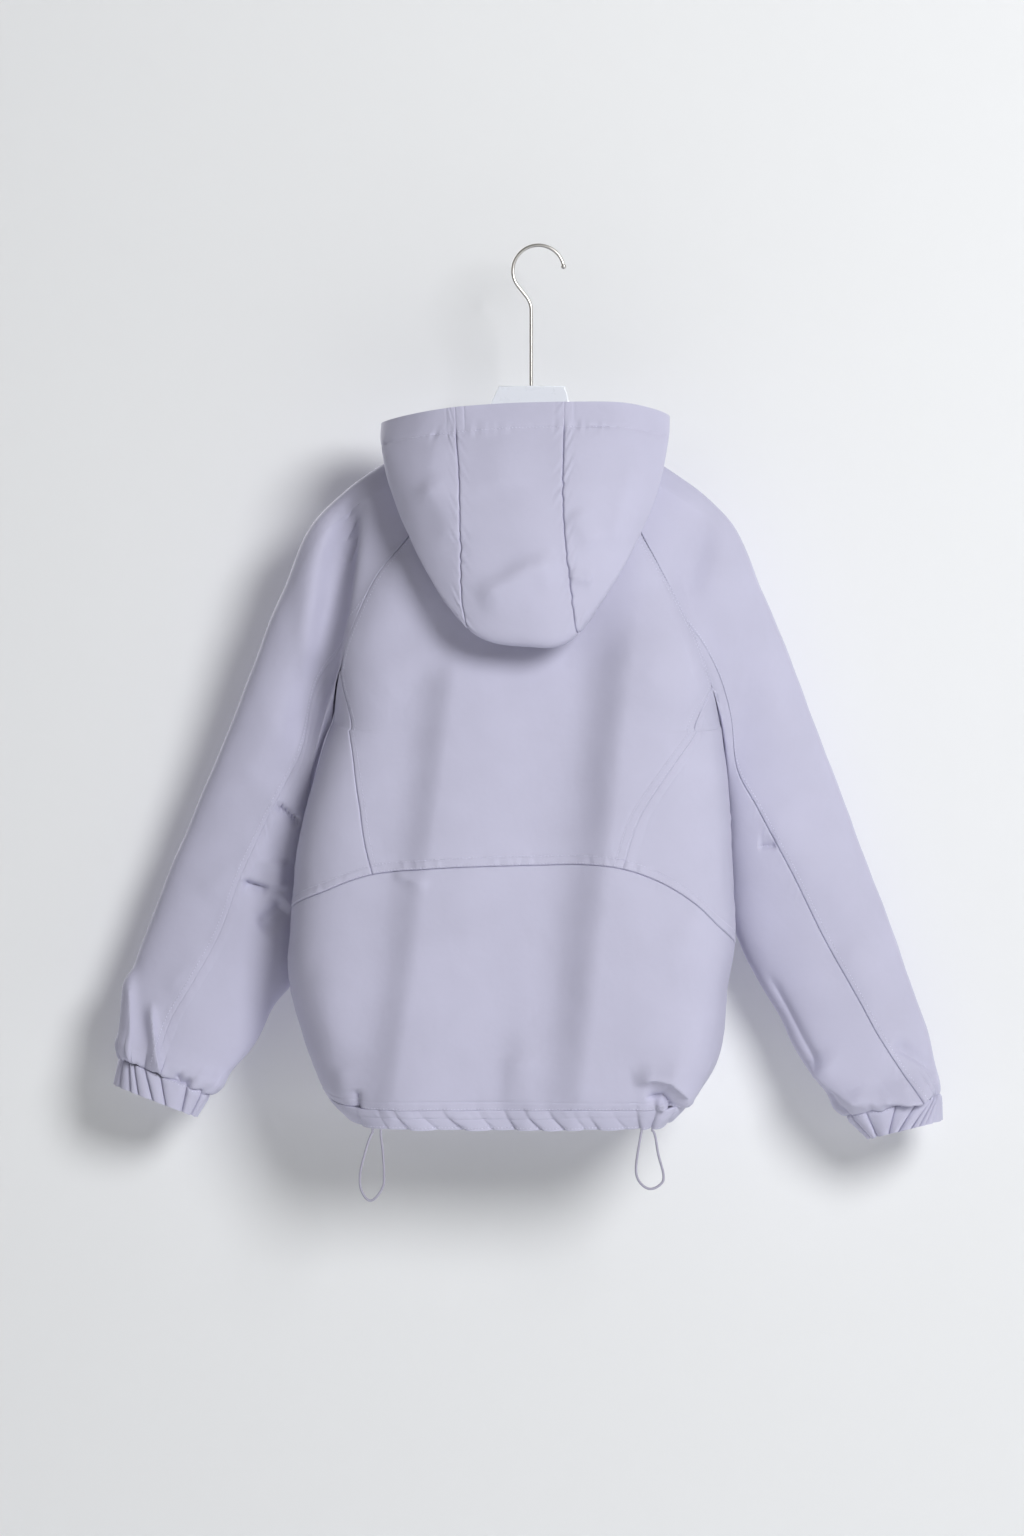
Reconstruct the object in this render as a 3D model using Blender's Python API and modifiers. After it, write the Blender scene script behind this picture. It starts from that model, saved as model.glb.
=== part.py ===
"""A hooded raglan rain jacket on a hanger, as thin cloth walls.

Metres, +Z up. The jacket's back faces -Y and its front faces +Y. The origin is the inside of the crest
of the hanger's hook, where a rail carries it. Left and right are the wearer's, seen from behind.
"""
import math

import bmesh
import bpy
import numpy as np
from mathutils import Matrix, Vector

# Cloth
WALL = 0.0015
SEAM_GAP = 0.0004
BENT_SEAM_GAP = 0.0010
HOOD_SEAM_GAP = 0.0014
NECK_LIFT = 0.0010
ZIP_GAP_HALF = 0.006
ZIP_TAPE_HALF = 0.014
ALL_SIDES = ("low", "high", "left", "right")
GATHERS_CUFF = 14
GATHERS_HEM_BACK = 16
GATHERS_HEM_FRONT = 8
GATHER_POINTS = 4
CUFF_GATHER = 0.0030
HEM_GATHER = 0.0028
TAPE_INSET = WALL + SEAM_GAP + HEM_GATHER * 0.4
HEM_UNEVEN, HEM_RISE, HEM_END_FADE = (0.8, 5), 1.5, 14
CASING_RISES = (0.0, 0.45, 0.97)
CASING_ZIP_GAP = 0.0015
CORD_DIAMETER = 0.0025
CORD_POINTS = 30

# Hanger
HOOK_WIRE = 0.0036
HOOK_RADIUS = 0.0256
HOOK_BALL = 0.0054
HOOK_TIP_ANGLE = 10
HOOK_TURN_ANGLE = 215
STEM_X = -0.0072
STEM_BEND_Z = -0.0560
BOARD_TOP_Z = -0.1390
BOARD_THICKNESS = 0.0080
BOARD_CLEARANCE = 0.0062
HOOK_STEPS = 20
STEM_BEND_LENGTH = 0.008
STEM_BEND_STEPS = 6
BOARD_CROWN = {
    "left": ((-0.0394, BOARD_TOP_Z), (-0.0504, -0.1615)),
    "right": ((0.0266, BOARD_TOP_Z), (0.0316, -0.1570)),
}
BOARD_ARM_HEIGHT = 0.025
BOARD_ARM_ALONG = 0.095
BOARD_TIP = 0.009
BOARD_LOW_Z = -0.236

# Zip slider and pull tab
SLIDER_SIZE = (0.0088, 0.0034, 0.0120)
SLIDER_ROW = 11.55
EAR_SIZE = (0.0013, 0.0060, 0.0040)
EAR_SINK = 0.0010
PIN_REACH = 0.0032
PIN_RISE = 0.0030
TAB_SIZE = (0.0050, 0.0016, 0.0240)
TAB_ABOVE_PIN = 0.0013
TAB_SIDE_GAP = 0.0003
ROUNDING = {"slider": 0.0008, "ear": 0.0003, "tab": 0.0005}


def table(columns, rows):
    """A short table as one array for each named column."""
    values = np.array(rows, float)
    return {name: values[:, i] for i, name in enumerate(columns.split())}


# Rows of the torso, from the hem's edge (row 0) and its stitching (1) up to the underarm (7), then along
# the raglan seams to the neck (12). Below row 7 the two ends are the side seams.
BACK = table("row left_x left_y left_z right_x right_y right_z centre_y centre_z wrap", [
    (0, -0.196, -0.004, -0.861, 0.140, -0.004, -0.858, -0.066, -0.880, 1.00),
    (1, -0.213, -0.004, -0.843, 0.160, -0.004, -0.840, -0.072, -0.861, 1.00),
    (2, -0.229, -0.006, -0.803, 0.182, -0.006, -0.803, -0.080, -0.813, 1.00),
    (3, -0.249, -0.008, -0.735, 0.190, -0.008, -0.735, -0.081, -0.738, 1.00),
    (4, -0.2475, -0.010, -0.683, 0.1965, -0.010, -0.683, -0.078, -0.683, 1.00),
    (5, -0.2415, -0.010, -0.608, 0.1925, -0.010, -0.608, -0.073, -0.608, 1.00),
    (6, -0.2275, -0.008, -0.543, 0.1895, -0.008, -0.543, -0.070, -0.543, 1.00),
    (7, -0.2060, 0.000, -0.475, 0.1825, 0.000, -0.480, -0.068, -0.486, 1.00),
    (8, -0.1990, -0.036, -0.424, 0.1740, -0.036, -0.442, -0.068, -0.436, 0.96),
    (9, -0.1850, -0.046, -0.378, 0.1600, -0.046, -0.400, -0.068, -0.388, 0.90),
    (10, -0.1610, -0.049, -0.329, 0.1350, -0.049, -0.349, -0.067, -0.338, 0.86),
    (11, -0.1270, -0.047, -0.287, 0.1030, -0.047, -0.288, -0.063, -0.288, 0.82),
    (12, -0.0710, -0.040, -0.207, 0.0630, -0.040, -0.209, -0.052, -0.215, 0.80),
])
FRONT = table("row left_x left_y left_z right_x right_y right_z centre_y centre_z wrap", [
    (0, -0.196, -0.004, -0.861, 0.140, -0.004, -0.858, 0.050, -0.873, 1.00),
    (1, -0.213, -0.004, -0.843, 0.160, -0.004, -0.840, 0.056, -0.853, 1.00),
    (2, -0.229, -0.006, -0.803, 0.182, -0.006, -0.803, 0.062, -0.808, 1.00),
    (3, -0.249, -0.008, -0.735, 0.190, -0.008, -0.735, 0.064, -0.738, 1.00),
    (4, -0.2475, -0.010, -0.683, 0.1965, -0.010, -0.683, 0.064, -0.683, 1.00),
    (5, -0.2415, -0.010, -0.608, 0.1925, -0.010, -0.608, 0.062, -0.608, 1.00),
    (6, -0.2275, -0.008, -0.543, 0.1895, -0.008, -0.543, 0.060, -0.545, 1.00),
    (7, -0.2060, 0.000, -0.475, 0.1825, 0.000, -0.480, 0.060, -0.492, 1.00),
    (8, -0.1930, 0.034, -0.428, 0.1690, 0.034, -0.436, 0.060, -0.450, 0.96),
    (9, -0.1760, 0.042, -0.380, 0.1530, 0.042, -0.392, 0.060, -0.410, 0.90),
    (10, -0.1510, 0.044, -0.330, 0.1290, 0.044, -0.342, 0.059, -0.370, 0.86),
    (11, -0.1200, 0.042, -0.280, 0.1010, 0.042, -0.286, 0.057, -0.330, 0.82),
    (12, -0.0790, 0.034, -0.222, 0.0700, 0.034, -0.226, 0.054, -0.285, 0.80),
])
UNDERARM_ROW, NECK_ROW, CASING_ROW, HEM_ROW = 7, 12, 1, 0
LOWER_ROWS, YOKE_ROWS, SIDE_TOP_ROWS = 8, 6, 3
BACK_COLUMNS, SIDE_COLUMNS, FRONT_COLUMNS = 17, 5, 10
TAPE_STEPS = 22
TAPE_ROWS = (HEM_ROW + 0.12, NECK_ROW - 0.04)
FLATNESS = {"back": 9.0, "front": 3.2}

# The curved yoke seam across the back, and the two side-back seams that run from it up to the raglans
YOKE = table("across row", [
    (-1.00, 4.31), (-0.66, 4.53), (-0.44, 4.75), (-0.25, 4.82), (0.07, 4.87), (0.20, 4.88),
    (0.32, 4.83), (0.45, 4.67), (0.60, 4.39), (0.72, 4.11), (1.00, 3.75),
])
SIDE_BACK_LEFT = table("row across", [
    (4.75, -0.442), (5.10, -0.478), (5.82, -0.544), (6.74, -0.674), (7.40, -0.830), (8.00, -0.985),
])
SIDE_BACK_RIGHT = table("row across", [
    (4.83, 0.330), (5.68, 0.402), (6.29, 0.505), (6.90, 0.644), (7.40, 0.790), (8.00, 0.985),
])
SIDE_BACK_TOP_ROW = 8.0
FOLD_FADE = 0.05
FOLD_EDGE_RISE = 1.6

# Soft folds of the body: a ridge from a top point to a low point, steeper on one side than on the other
FOLDS_BACK = table("top_x top_z low_x low_z left_width right_width height", [
    (-0.084, -0.450, -0.140, -0.850, 0.024, 0.110, 0.0130),
    (0.094, -0.420, 0.047, -0.840, 0.031, 0.130, 0.0215),
    (-0.010, -0.830, -0.006, -0.880, 0.016, 0.040, 0.0060),
    (0.142, -0.835, 0.134, -0.868, 0.022, 0.020, 0.0100),
])
FOLDS_FRONT = table("top_x top_z low_x low_z left_width right_width height", [
    (-0.130, -0.420, -0.150, -0.840, 0.060, 0.030, 0.0090),
    (0.085, -0.440, 0.118, -0.840, 0.040, 0.055, 0.0100),
])

# Rings of the sleeves: the outer line over the shoulder and down the arm, the inner line from the underarm
# and behind the body's edge, and half the ring's thickness there
SLEEVE_COLUMNS = "along outer_x outer_y outer_z inner_x inner_y inner_z half_depth"
SLEEVES = {
    "left": table(SLEEVE_COLUMNS, [
        (0.00, -0.0980, -0.001, -0.1870, -0.2060, -0.001, -0.475, 0.042),
        (0.07, -0.1620, 0.000, -0.2210, -0.2150, 0.010, -0.494, 0.036),
        (0.14, -0.2150, 0.004, -0.2640, -0.2220, 0.023, -0.522, 0.036),
        (0.26, -0.2564, 0.018, -0.3440, -0.2290, 0.038, -0.565, 0.036),
        (0.40, -0.3064, 0.034, -0.4710, -0.2360, 0.046, -0.622, 0.036),
        (0.55, -0.3480, 0.043, -0.5700, -0.2400, 0.050, -0.680, 0.036),
        (0.70, -0.3824, 0.046, -0.6540, -0.2460, 0.050, -0.735, 0.037),
        (0.82, -0.4045, 0.044, -0.7150, -0.2680, 0.046, -0.764, 0.038),
        (0.92, -0.4180, 0.038, -0.7660, -0.2900, 0.040, -0.806, 0.037),
        (1.00, -0.4185, 0.030, -0.8110, -0.3300, 0.030, -0.848, 0.032),
    ]),
    "right": table(SLEEVE_COLUMNS, [
        (0.00, 0.0860, -0.001, -0.1930, 0.1825, -0.001, -0.480, 0.042),
        (0.07, 0.1400, 0.000, -0.2290, 0.1860, 0.010, -0.497, 0.036),
        (0.14, 0.1860, 0.004, -0.2670, 0.1880, 0.023, -0.524, 0.036),
        (0.26, 0.2240, 0.018, -0.3430, 0.1890, 0.038, -0.567, 0.036),
        (0.40, 0.2700, 0.034, -0.4560, 0.1900, 0.046, -0.622, 0.036),
        (0.55, 0.3120, 0.043, -0.5690, 0.1950, 0.050, -0.676, 0.036),
        (0.70, 0.3500, 0.046, -0.6670, 0.2190, 0.050, -0.731, 0.037),
        (0.82, 0.3750, 0.044, -0.7400, 0.2420, 0.046, -0.770, 0.038),
        (0.92, 0.3925, 0.038, -0.7930, 0.2670, 0.040, -0.818, 0.037),
        (1.00, 0.4035, 0.030, -0.8480, 0.3086, 0.030, -0.870, 0.032),
    ]),
}
# How far the sleeve's back seam swings outwards along the sleeve, as a part of a turn
SEAM_SWING = table("along left right", [
    (0.00, 0.000, 0.000), (0.15, 0.035, 0.045), (0.26, 0.045, 0.062), (0.40, -0.003, 0.014),
    (0.55, -0.036, -0.028), (0.70, -0.048, -0.042), (0.82, -0.055, -0.060), (0.92, -0.076, -0.080),
    (1.00, -0.066, -0.120),
])
NECK_SHARE = 0.06
SEAM_ROW = 9.5
RAGLAN_REACH = 0.30
SLEEVE_FIRST_RINGS = (0.0, 0.035)
SLEEVE_EVEN_START, SLEEVE_EVEN_RINGS = 0.08, 13
SLEEVE_FOLD_RISE, SLEEVE_FOLD_START = 1.5, 0.04
FOLDS_SLEEVE = table("top_x top_z low_x low_z left_width right_width height", [
    (-0.188, -0.275, -0.222, -0.455, 0.020, 0.011, -0.0160),
    (0.166, -0.279, 0.144, -0.340, 0.016, 0.018, -0.0080),
])
SLEEVE_ROUNDNESS = 0.6
CUFFS = {
    "left": {"outer": (-0.4245, 0.030, -0.8385), "inner": (-0.3440, 0.030, -0.8700), "half_depth": 0.030},
    "right": {"outer": (0.4040, 0.030, -0.8740), "inner": (0.3316, 0.030, -0.8920), "half_depth": 0.030},
}

CUFF_SPREAD = np.array((1.0, 1.0, 0.3))
CUFF_UNEVEN, CUFF_GATHER_RISE = 0.9, 2.5
CUFF_RISES = (0.03, 0.4, 0.7, 1.0)

# Sections of the hood that hangs open on the back, from its front end at the left (-6) round the back (0)
# to the right (6): its free edge, its lowest points, and how far its outer wall swells
HOOD = table("place edge_x edge_y edge_z low_x low_y low_z swell", [
    (-6.0, -0.020, 0.068, -0.258, -0.018, 0.063, -0.272, 0.004),
    (-5.0, -0.088, 0.057, -0.214, -0.076, 0.051, -0.231, 0.004),
    (-4.0, -0.142, 0.022, -0.179, -0.130, 0.024, -0.189, 0.004),
    (-3.0, -0.1560, -0.036, -0.1770, -0.1520, -0.050, -0.2140, 0.004),
    (-2.0, -0.1210, -0.079, -0.1690, -0.1270, -0.086, -0.2900, 0.014),
    (-1.0, -0.0800, -0.092, -0.1635, -0.0680, -0.108, -0.3840, 0.026),
    (0.0, -0.0290, -0.096, -0.1600, -0.0080, -0.114, -0.4010, 0.030),
    (1.0, 0.0256, -0.094, -0.1585, 0.0400, -0.108, -0.3880, 0.026),
    (2.0, 0.0860, -0.080, -0.1590, 0.0960, -0.086, -0.2980, 0.014),
    (3.0, 0.1290, -0.036, -0.1690, 0.1250, -0.050, -0.2140, 0.004),
    (4.0, 0.1200, 0.022, -0.180, 0.1100, 0.024, -0.192, 0.004),
    (5.0, 0.0770, 0.057, -0.214, 0.0660, 0.051, -0.233, 0.004),
    (6.0, 0.0110, 0.068, -0.258, 0.0090, 0.063, -0.272, 0.004),
])
HOOD_SEAM = 1.0
HOOD_END = 6.0
HOOD_NECK_BACK = 1.7
HOOD_NECK_FRONT = 4.0
HOOD_TURN = (0.010, 0.010)
HOOD_ROUNDING = 0.5
HOOD_BAG_START, HOOD_BAG_DEPTH = 0.005, 0.060
HOOD_TURN_LEAST = 0.4
HOOD_INNER_FALL, HOOD_INNER_BULGE = 0.55, 0.002
HOOD_KNOTS = (0.0, 0.10, 0.30, 0.47, 0.55, 0.63, 0.80, 1.0)
HOOD_RISES = (0, 0.05, 0.10, 0.20, 0.30, 0.39, 0.47, 0.51, 0.55, 0.59, 0.63, 0.72, 0.80, 0.90, 1.0)
HOOD_COLUMNS = {"centre": 7, "back": 3, "side": 9, "front": 6}
NECK_HALF_WIDTH = 0.075

# Free drawcord loops at the hem: points down one leg, round the end and up the other leg. Both ends come
# out of the casing's edge.
CORD_END_GAP = 0.0007
CORDS = {
    "left": table("x z", [
        (-0.1632, -0.8790), (-0.1690, -0.8920), (-0.1764, -0.9190), (-0.1772, -0.9350), (-0.1733, -0.9455),
        (-0.1674, -0.9505), (-0.1612, -0.9470), (-0.1552, -0.9380), (-0.1534, -0.9290), (-0.1544, -0.9040),
        (-0.1575, -0.8790),
    ]),
    "right": table("x z", [
        (0.1026, -0.8770), (0.1006, -0.8890), (0.0966, -0.9160), (0.0986, -0.9290), (0.1060, -0.9370),
        (0.1140, -0.9380), (0.1226, -0.9320), (0.1236, -0.9226), (0.1186, -0.9040), (0.1156, -0.8860),
        (0.1116, -0.8770),
    ]),
}

LILAC = (0.50, 0.49, 0.64, 1.0)
LILAC_TAPE = (0.44, 0.43, 0.58, 1.0)
CORD_GREY = (0.42, 0.40, 0.52, 1.0)
STEEL = (0.62, 0.60, 0.57, 1.0)
BOARD_WHITE = (0.82, 0.84, 0.88, 1.0)


def material(name, colour, roughness, metallic=0.0):
    made = bpy.data.materials.new(name)
    made.use_nodes = True
    shader = made.node_tree.nodes["Principled BSDF"]
    shader.inputs["Base Color"].default_value = colour
    shader.inputs["Roughness"].default_value = roughness
    shader.inputs["Metallic"].default_value = metallic
    return made


def smooth(at, knots, values):
    """A smooth curve through the values at the knots."""
    at = np.clip(at, knots[0], knots[-1])
    i = np.clip(np.searchsorted(knots, at, side="right") - 1, 0, len(knots) - 2)
    step = knots[i + 1] - knots[i]
    s = (at - knots[i]) / step
    slope = np.gradient(values, knots)
    start = (1 + 2 * s) * (1 - s) ** 2 * values[i] + s * (1 - s) ** 2 * step * slope[i]
    end = s * s * (3 - 2 * s) * values[i + 1] + s * s * (s - 1) * step * slope[i + 1]
    return start + end


def fold_height(folds, x, z):
    """How far the folds lift the cloth at each x and z."""
    height = np.zeros_like(x)
    for i in range(len(folds["height"])):
        top = np.array((folds["top_x"][i], folds["top_z"][i]))
        low = np.array((folds["low_x"][i], folds["low_z"][i]))
        length = np.linalg.norm(low - top)
        way = (low - top) / length
        along = ((x - top[0]) * way[0] + (z - top[1]) * way[1]) / length
        across = -(x - top[0]) * way[1] + (z - top[1]) * way[0]
        width = np.where(across < 0, folds["left_width"][i], folds["right_width"][i])
        past_end = np.maximum(np.abs(along - 0.5) - 0.5, 0) * length
        fade = np.exp(-((past_end / FOLD_FADE) ** 2))
        height = height + folds["height"][i] * fade * np.exp(-((across / width) ** 2))
    return height


def torso(half, across, row):
    """The body's outer face: across runs from -1 at the left to 1 at the right, row from hem to neck."""
    rows = BACK if half == "back" else FRONT
    folds = FOLDS_BACK if half == "back" else FOLDS_FRONT
    outwards = -1.0 if half == "back" else 1.0
    across, row = np.broadcast_arrays(np.asarray(across, float), np.asarray(row, float))

    def at(column):
        values = rows[column]
        if column.startswith("centre"):
            return smooth(row, rows["row"], values)
        below = smooth(row, rows["row"][:UNDERARM_ROW + 1], values[:UNDERARM_ROW + 1])
        above = smooth(row, rows["row"][UNDERARM_ROW:], values[UNDERARM_ROW:])
        return np.where(row <= UNDERARM_ROW, below, above)

    wrap = np.clip(at("wrap"), 0.5, 1.0)
    turn = np.arcsin(wrap)
    share = np.sin(across * turn) / wrap
    edge = np.sqrt(np.maximum(1 - wrap ** FLATNESS[half], 0))
    bulge = (np.sqrt(np.maximum(1 - np.abs(share * wrap) ** FLATNESS[half], 0)) - edge) / (1 - edge)
    right = (1 + share) / 2
    x = at("left_x") * (1 - right) + at("right_x") * right
    y_ends = at("left_y") * (1 - right) + at("right_y") * right
    z_ends = at("left_z") * (1 - right) + at("right_z") * right
    y = y_ends + (at("centre_y") - y_ends) * bulge
    z = z_ends + (at("centre_z") - z_ends) * bulge
    y = y + outwards * np.clip(FOLD_EDGE_RISE * bulge, 0, 1) * fold_height(folds, x, z)
    return np.stack([x, y, z], axis=-1)


def torso_normal(half, across, row):
    step = 1e-3
    across, row = np.broadcast_arrays(np.asarray(across, float), np.asarray(row, float))
    right = torso(half, np.clip(across + step, -1, 1), row) - torso(half, np.clip(across - step, -1, 1), row)
    ends = (HEM_ROW, NECK_ROW)
    up = torso(half, across, np.clip(row + step, *ends)) - torso(half, across, np.clip(row - step, *ends))
    return unit(np.cross(right, up) if half == "back" else np.cross(up, right))


def unit(vectors):
    return vectors / np.maximum(np.linalg.norm(vectors, axis=-1, keepdims=True), 1e-12)


def raglan(side, half, row):
    return torso(half, -1.0 if side == "left" else 1.0, row)


def neck_edge(side, share):
    """The sleeve's short edge at the neck, from the back raglan (-1) over the shoulder (0) to the front."""
    rings = SLEEVES[side]
    shoulder = np.array((rings["outer_x"][0], rings["outer_y"][0], rings["outer_z"][0]))
    ends = np.stack([raglan(side, "back", NECK_ROW), shoulder, raglan(side, "front", NECK_ROW)])
    knots = np.array((-1.0, 0.0, 1.0))
    return np.stack([smooth(share, knots, ends[:, axis]) for axis in range(3)], axis=-1)


def raglan_loop(side, around):
    """The sleeve's first ring: the neck edge, the back raglan, the underarm and the front raglan."""
    span = 0.5 - NECK_SHARE
    fall = (NECK_ROW - UNDERARM_ROW) / span
    back_row = NECK_ROW - (around - NECK_SHARE) * fall
    front_row = UNDERARM_ROW + (around - 0.5) * fall
    neck_share = np.where(around < 0.5, -around, 1 - around) / NECK_SHARE
    back = raglan(side, "back", np.clip(back_row, UNDERARM_ROW, NECK_ROW))
    front = raglan(side, "front", np.clip(front_row, UNDERARM_ROW, NECK_ROW))
    neck = neck_edge(side, np.clip(neck_share, -1, 1))
    at_neck = (around < NECK_SHARE) | (around > 1 - NECK_SHARE)
    body = np.where((around < 0.5)[..., None], back, front)
    return np.where(at_neck[..., None], neck, body)


def ring(side, around, along):
    """An even ring of the sleeve: around is a part of a turn from the outer line, by the back."""
    rings = SLEEVES[side]

    def at(column):
        return smooth(along, rings["along"], rings[column])

    angle = 2 * np.pi * around
    swing = smooth(along, SEAM_SWING["along"], SEAM_SWING[side])
    angle = angle + 2 * np.pi * swing * np.maximum(np.sin(angle), 0) ** 2
    out = (1 + np.cos(angle)) / 2
    x = at("inner_x") * (1 - out) + at("outer_x") * out
    z = at("inner_z") * (1 - out) + at("outer_z") * out
    depth = np.sign(np.sin(angle)) * np.abs(np.sin(angle)) ** SLEEVE_ROUNDNESS
    y = at("inner_y") * (1 - out) + at("outer_y") * out - at("half_depth") * depth
    return np.stack([x, y, z], axis=-1)


def sleeve(side, around, along):
    """The sleeve's outer face, from the raglan seam (along 0) to the cuff (along 1)."""
    around, along = np.broadcast_arrays(np.asarray(around, float), np.asarray(along, float))
    points = ring(side, around, along)
    start = ring(side, around, np.zeros_like(around))
    fade = np.clip(1 - along / RAGLAN_REACH, 0, 1) ** 2
    points = points + fade[..., None] * (raglan_loop(side, around) - start)
    facing = np.clip(np.sin(2 * np.pi * around) * SLEEVE_FOLD_RISE, 0, 1)
    facing = facing * np.clip(along / SLEEVE_FOLD_START, 0, 1)
    points[..., 1] -= facing * fold_height(FOLDS_SLEEVE, points[..., 0], points[..., 2])
    return points


def sleeve_normal(side, around, along):
    step = 1e-3
    around, along = np.broadcast_arrays(np.asarray(around, float), np.asarray(along, float))
    turn = sleeve(side, np.mod(around + step, 1), along) - sleeve(side, np.mod(around - step, 1), along)
    after, before = np.clip(along + step, 0, 1), np.clip(along - step, 0, 1)
    down = sleeve(side, around, after) - sleeve(side, around, before)
    return unit(np.cross(down, turn) if side == "left" else np.cross(turn, down))


def hood_neck(place):
    """The neckline under the hood, from the front (-6) round the back (0) to the front (6)."""
    side_share = (np.abs(place) - HOOD_NECK_BACK) / (HOOD_NECK_FRONT - HOOD_NECK_BACK) * 2 - 1
    front_across = (HOOD_END - np.abs(place)) / (HOOD_END - HOOD_NECK_FRONT)
    front_start = ZIP_GAP_HALF / NECK_HALF_WIDTH
    front_across = front_start + (1 - front_start) * np.clip(front_across, 0, 1)
    back = torso("back", np.clip(place / HOOD_NECK_BACK, -1, 1), NECK_ROW)
    left = neck_edge("left", np.clip(side_share, -1, 1))
    right = neck_edge("right", np.clip(side_share, -1, 1))
    front = torso("front", np.sign(place) * front_across, NECK_ROW)
    side = np.where((place < 0)[..., None], left, right)
    reach = np.abs(place)[..., None]
    points = np.where(reach <= HOOD_NECK_BACK, back, np.where(reach <= HOOD_NECK_FRONT, side, front))
    return points + np.array((0, 0, NECK_LIFT))


def hood(place, rise):
    """The hood's outer face: place goes round the neck, rise from the neckline (0) to the free edge (1)."""
    place, rise = np.broadcast_arrays(np.asarray(place, float), np.asarray(rise, float))

    def at(column):
        return smooth(place, HOOD["place"], HOOD[column])

    neck = hood_neck(place)
    edge = np.stack([at("edge_x"), at("edge_y"), at("edge_z")], axis=-1)
    low = np.stack([at("low_x"), at("low_y"), at("low_z")], axis=-1)
    bag = np.clip((neck[..., 2] - low[..., 2] - HOOD_BAG_START) / HOOD_BAG_DEPTH, 0, 1)[..., None]
    outwards = unit((edge - neck) * np.array((1.0, 1.0, 0.0)))
    reach = HOOD_TURN_LEAST + (1 - HOOD_TURN_LEAST) * bag
    turn = neck + outwards * HOOD_TURN[0] * reach + np.array((0, 0, HOOD_TURN[1]))
    inner = turn + (low - turn) * HOOD_INNER_FALL + bag * outwards * HOOD_INNER_BULGE
    swell = outwards * at("swell")[..., None]
    lift = np.array((0, 0, 1)) * at("swell")[..., None] * HOOD_ROUNDING
    near_body = low - swell * HOOD_ROUNDING + lift
    near_rim = low + swell * HOOD_ROUNDING + lift
    outer = low + (edge - low) * 0.5 + swell
    knots = np.array(HOOD_KNOTS)
    stops = [neck, turn, inner, near_body, low, near_rim, outer, edge]
    slopes = []
    for i in range(len(stops)):
        before, after = max(i - 1, 0), min(i + 1, len(stops) - 1)
        slopes.append((stops[after] - stops[before]) / (knots[after] - knots[before]))
    points = np.zeros(place.shape + (3,))
    for i in range(len(stops) - 1):
        step = knots[i + 1] - knots[i]
        s = np.clip((rise - knots[i]) / step, 0, 1)[..., None]
        start = (1 + 2 * s) * (1 - s) ** 2 * stops[i] + s * (1 - s) ** 2 * step * slopes[i]
        end = s * s * (3 - 2 * s) * stops[i + 1] + s * s * (s - 1) * step * slopes[i + 1]
        here = (rise >= knots[i]) & (rise <= knots[i + 1])
        points = np.where(here[..., None], start + end, points)
    return points


def hood_normal(place, rise):
    step = 1e-3
    place, rise = np.broadcast_arrays(np.asarray(place, float), np.asarray(rise, float))
    ends = (-HOOD_END, HOOD_END)
    round_neck = hood(np.clip(place + step, *ends), rise) - hood(np.clip(place - step, *ends), rise)
    up = hood(place, np.clip(rise + step, 0, 1)) - hood(place, np.clip(rise - step, 0, 1))
    return unit(np.cross(round_neck, up))


def cuff(side, around, along):
    """The gathered cuff, from the sleeve's end (0) to the wrist opening (1)."""
    around, along = np.broadcast_arrays(np.asarray(around, float), np.asarray(along, float))
    top = ring(side, around, np.ones_like(around))
    form = CUFFS[side]
    angle = 2 * np.pi * around
    out = ((1 + np.cos(angle)) / 2)[..., None]
    outer, inner = np.array(form["outer"]), np.array(form["inner"])
    low = inner * (1 - out) + outer * out
    low = low + np.stack([0 * angle, -form["half_depth"] * np.sin(angle), 0 * angle], axis=-1)
    points = top + (low - top) * along[..., None]
    middle = (inner + outer) / 2
    away = unit((points - middle) * CUFF_SPREAD)
    wave = np.cos(GATHERS_CUFF * angle + CUFF_UNEVEN * np.sin(2 * angle))
    return points + away * (CUFF_GATHER * wave * np.clip(along * CUFF_GATHER_RISE, 0, 1))[..., None]


def cuff_normal(side, around, along):
    step = 1e-3
    turn = cuff(side, np.mod(around + step, 1), along) - cuff(side, np.mod(around - step, 1), along)
    down = cuff(side, around, np.clip(along + step, 0, 1)) - cuff(side, around, np.clip(along - step, 0, 1))
    return unit(np.cross(down, turn) if side == "left" else np.cross(turn, down))


def casing(half, across, row):
    """The hem's drawcord casing: the body's lowest band, gathered towards its edge."""
    points = torso(half, across, row)
    count = GATHERS_HEM_BACK if half == "back" else 2 * GATHERS_HEM_FRONT
    wave = np.cos(np.pi * count * across + HEM_UNEVEN[0] * np.sin(HEM_UNEVEN[1] * across))
    start = zip_across(np.array(0.5), ZIP_GAP_HALF) if half == "front" else -1.0
    ends = np.minimum(1 - np.abs(across), np.abs(across) - start)
    fade = np.clip((CASING_ROW - row) * HEM_RISE, 0, 1) * np.clip(ends * HEM_END_FADE, 0, 1)
    return points + torso_normal(half, across, row) * (HEM_GATHER * fade * wave)[..., None]


def casing_normal(half, across, row):
    step = 1e-3
    after, before = np.clip(across + step, -1, 1), np.clip(across - step, -1, 1)
    right = casing(half, after, row) - casing(half, before, row)
    up = casing(half, across, np.clip(row + step, 0, 1)) - casing(half, across, np.clip(row - step, 0, 1))
    return unit(np.cross(right, up) if half == "back" else np.cross(up, right))


def drawn_in(points, sides, gap):
    """The grid with the named edges drawn in by half a seam gap."""
    points = points.copy()
    ends = {"low": (0, 1), "high": (-1, -2)}
    for name, (edge, inside) in ends.items():
        if name in sides:
            points[edge] += unit(points[inside] - points[edge]) * gap / 2
    ends = {"left": (0, 1), "right": (-1, -2)}
    for name, (edge, inside) in ends.items():
        if name in sides:
            points[:, edge] += unit(points[:, inside] - points[:, edge]) * gap / 2
    return points


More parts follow.
